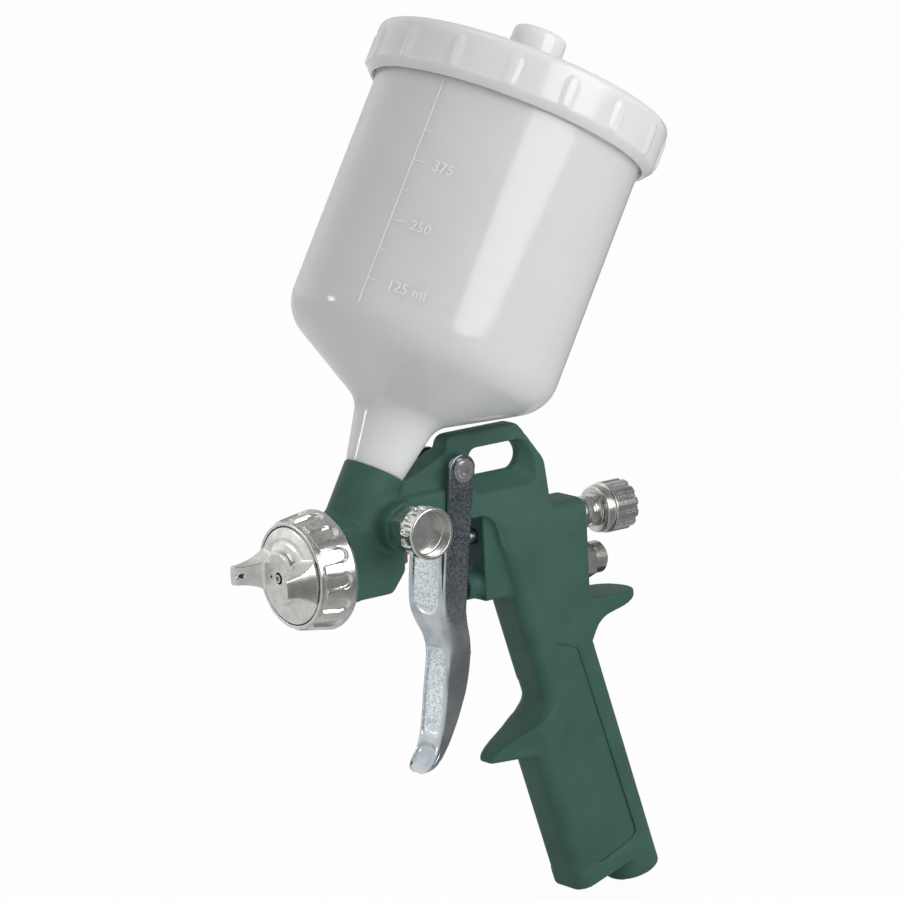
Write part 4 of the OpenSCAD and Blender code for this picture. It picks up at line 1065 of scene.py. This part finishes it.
threadForm = {
    "foot": 104, "front": 114.0, "rear": 131.0, "end": 131.2,  # distances behind the ring's front edge
    "bore": 4.6, "sleeve": 5.1, "radius": 5.12, "ridge": 0.3, "pitch": 0.9, "smooth": 50,
}


def buildSleeve():
    f = threadForm
    bore, sleeve, height = f["bore"], f["sleeve"], f["rear"] - f["front"]
    line = rounded([(bore, f["foot"]), (sleeve, f["foot"]), (sleeve, f["end"], 0.3), (bore, f["end"])])
    mesh = lathe("threadedSleeve", sampled(line, 4), 96)
    mesh.transform(Matrix.Translation((0, 0, -f["front"])))  # the thread starts at zero
    mesh = evaluated(mesh, shapedBy(threadTree, {
        "Turns": height / f["pitch"], "Radius": f["radius"], "Height": height, "Ridge": f["ridge"],
        "Finish": finishes["plated"]}))
    mesh.transform(Matrix.Translation((0, 0, f["front"])))
    piece("threadedSleeve", mesh, "needle_sleeve", sprayAxes, f["smooth"])


buildFanKnob()
buildFanGland()
buildFluidKnob()
buildSleeve()
print("knobs built")

# trigger

triggerForm = {
    "voxel": 0.25, "rounds": 8, "triangles": 150000, "smooth": 60,
    "sheet": 1.5,
    "sections": [  # height, front edge before the pivot, half width, depth, corner radius
        (5, 8.0, 10.1, 9.8, 1.8), (-5, 9.1, 10.1, 9.6, 1.8), (-14, 10.0, 10.1, 9.5, 1.8),
        (-21, 10.2, 10.0, 9.0, 2.2), (-26, 9.4, 9.3, 9.0, 3.4), (-31, 7.9, 8.0, 9.1, 4.2),
        (-37, 7.3, 7.0, 9.2, 2.8), (-48, 8.6, 6.8, 8.2, 1.8), (-56, 9.9, 6.6, 6.4, 1.8),
        (-63, 11.3, 6.4, 4.4, 1.6), (-68, 13.2, 6.3, 3.0, 1.4), (-71.0, 15.2, 6.1, 2.4, 1.0),
        (-72.6, 16.6, 5.2, 2.2, 0.9), (-73.6, 17.4, 3.6, 2.0, 0.8), (-74.0, 17.7, 2.2, 1.9, 0.7)],
    "rows": 150, "across": 17, "arcSteps": 6,  # how finely the sheet is drawn
    "pads": [  # middle height, half height, half width, corner radius, depth, share of flakes
        (-8, 14, 6.7, 6.0, 0.5, 1), (-48, 14.5, 5.0, 3.0, 0.8, 1), (-71, 5.5, 4.8, 3.5, 0.7, 0)],
    "padEdge": 1.0, "padFront": 0.2,
    "flank": (-45, -5), "flankFlat": 0.8,  # the painted shade on the flanks grows from the first height to the second
    "pivot": (-62.6, 25.0), "armSides": (8.6, 10.1), "armRadius": 5.1, "armArc": (8, 172, 25),
    "armFoot": [(-1.8, 4.0), (-1.9, 1.0), (6, 1.0), (7.2, 4.0)],  # before the pivot, height
}


def between(table, z):  # a smooth curve through the sections
    last = len(table) - 1
    i = next((k for k in range(last) if z >= table[k + 1][0]), last - 1)
    a, b = table[i], table[i + 1]
    before, after = table[max(0, i - 1)], table[min(last, i + 2)]
    span = b[0] - a[0]
    t = (z - a[0]) / span
    values = []
    for k in range(1, len(a)):
        m0 = (b[k] - before[k]) / (b[0] - before[0]) * span
        m1 = (after[k] - a[k]) / (after[0] - a[0]) * span
        values.append((2 * t**3 - 3 * t**2 + 1) * a[k] + (t**3 - 2 * t**2 + t) * m0
                      + (3 * t**2 - 2 * t**3) * b[k] + (t**3 - t**2) * m1)
    return values


def padShare(y, z):  # the share of flakes at a point of the front, and how deep the pad is there
    share, depth = 0.0, 0.0
    for middle, tall, wide, corner, deep, flakes in triggerForm["pads"]:
        a, b = np.abs(y) - wide + corner, np.abs(z - middle) - tall + corner
        away = np.hypot(np.maximum(a, 0), np.maximum(b, 0)) + np.minimum(np.maximum(a, b), 0) - corner
        inside = np.clip(0.5 - away / triggerForm["padEdge"], 0, 1)
        share, depth = np.maximum(share, inside * flakes), depth + inside * deep
    return share, depth


def channel(z, front, half, depth, corner):  # one section, open to the rear, as points in X and Y
    sheet, n = triggerForm["sheet"], triggerForm["arcSteps"]
    r = min(corner, half / 2, depth - sheet - 0.1)  # outer corner
    q = max(0.25, r - sheet)  # inner corner
    t = min(sheet, depth - 0.5)  # thinner where the tip is shallow
    v = half - t
    arc = [math.pi / 2 * i / n for i in range(n + 1)]
    outer = [(front - depth, -half)]
    outer += [(front - r + r * math.sin(a), -half + r - r * math.cos(a)) for a in arc]
    face = np.linspace(-1, 1, triggerForm["across"])[1:-1]
    outer += [(front - padShare(k * (half - r), z)[1], k * (half - r)) for k in face]
    outer += [(front - r + r * math.cos(a), half - r + r * math.sin(a)) for a in arc]
    outer.append((front - depth, half))
    inner = [(front - depth, v)]
    inner += [(front - t - q + q * math.sin(a), v - q + q * math.cos(a)) for a in arc]
    inner += [(front - t - padShare(k * (half - r), z)[1], k * (v - q)) for k in face[::-1]]
    inner += [(front - t - q + q * math.cos(a), -v + q - q * math.sin(a)) for a in arc]
    inner.append((front - depth, -v))
    return outer + inner


def pressedSheet():  # the folded sheet below the arms
    f = triggerForm
    table, rows = f["sections"], f["rows"]
    top, low = table[0][0], table[-1][0]
    work = bmesh.new()
    rings = []
    for k in range(rows + 1):
        z = top + (low - top) * k / rows
        section = channel(z, *between(table, z))
        rings.append([work.verts.new((f["pivot"][0] + x, y, z)) for x, y in section])
    n = len(rings[0])
    for a, b in zip(rings, rings[1:]):
        for k in range(n):
            work.faces.new((a[k], a[(k + 1) % n], b[(k + 1) % n], b[k]))
    for ring in (rings[0], rings[-1]):  # both ends, outer edge to inner edge
        for k in range(n // 2 - 1):
            work.faces.new((ring[k], ring[k + 1], ring[n - 2 - k], ring[n - 1 - k]))
    bmesh.ops.recalc_face_normals(work, faces=work.faces)
    mesh = bpy.data.meshes.new("pressedSheet")
    work.to_mesh(mesh)
    work.free()
    return mesh


def triggerArms():
    f = triggerForm
    x, z = f["pivot"]
    r = f["armRadius"]
    edge = [(x + r * math.cos(a), z + r * math.sin(a)) for a in np.radians(np.linspace(*f["armArc"]))]
    edge += [(x + forward, height) for forward, height in f["armFoot"]]
    return [loft("arm", [[(a, side * y, b) for a, b in edge] for y in f["armSides"]]) for side in (-1, 1)]


def buildTrigger():
    f = triggerForm
    mesh = soft(carved(pressedSheet(), triggerArms(), "UNION"), f["voxel"], 0, f["rounds"], f["triangles"])
    spots, normals = places(mesh), facing(mesh)
    marked(mesh, "pad", padShare(spots[:, 1], spots[:, 2])[0] * (normals[:, 0] > f["padFront"]))
    low, high = f["flank"]
    # painted shade: side faces marked darker, the more the higher they are
    sides = np.abs(normals[:, 1]) > f["flankFlat"]
    marked(mesh, "flank", sides * np.clip((spots[:, 2] - low) / (high - low), 0, 1))
    piece("triggerLever", mesh, "trigger", gunAxes, f["smooth"])


buildTrigger()
print("trigger built")

# springs, each copied from its node with a mesh of its own

springs = {  # name: node, joint, fixed end in X, travel, both in mm
    "needleSpring": ("needle_spring", "needle_slide", -131.9, 6.5),
    "valveSpring": ("air_valve_spring", "air_valve_slide", -121.2, 9.6),
}
for name, (node, joint, fixed, travel) in springs.items():
    coil = piece(name, cadCopy(node), node, gunAxes)
    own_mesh(coil)
print("springs built")
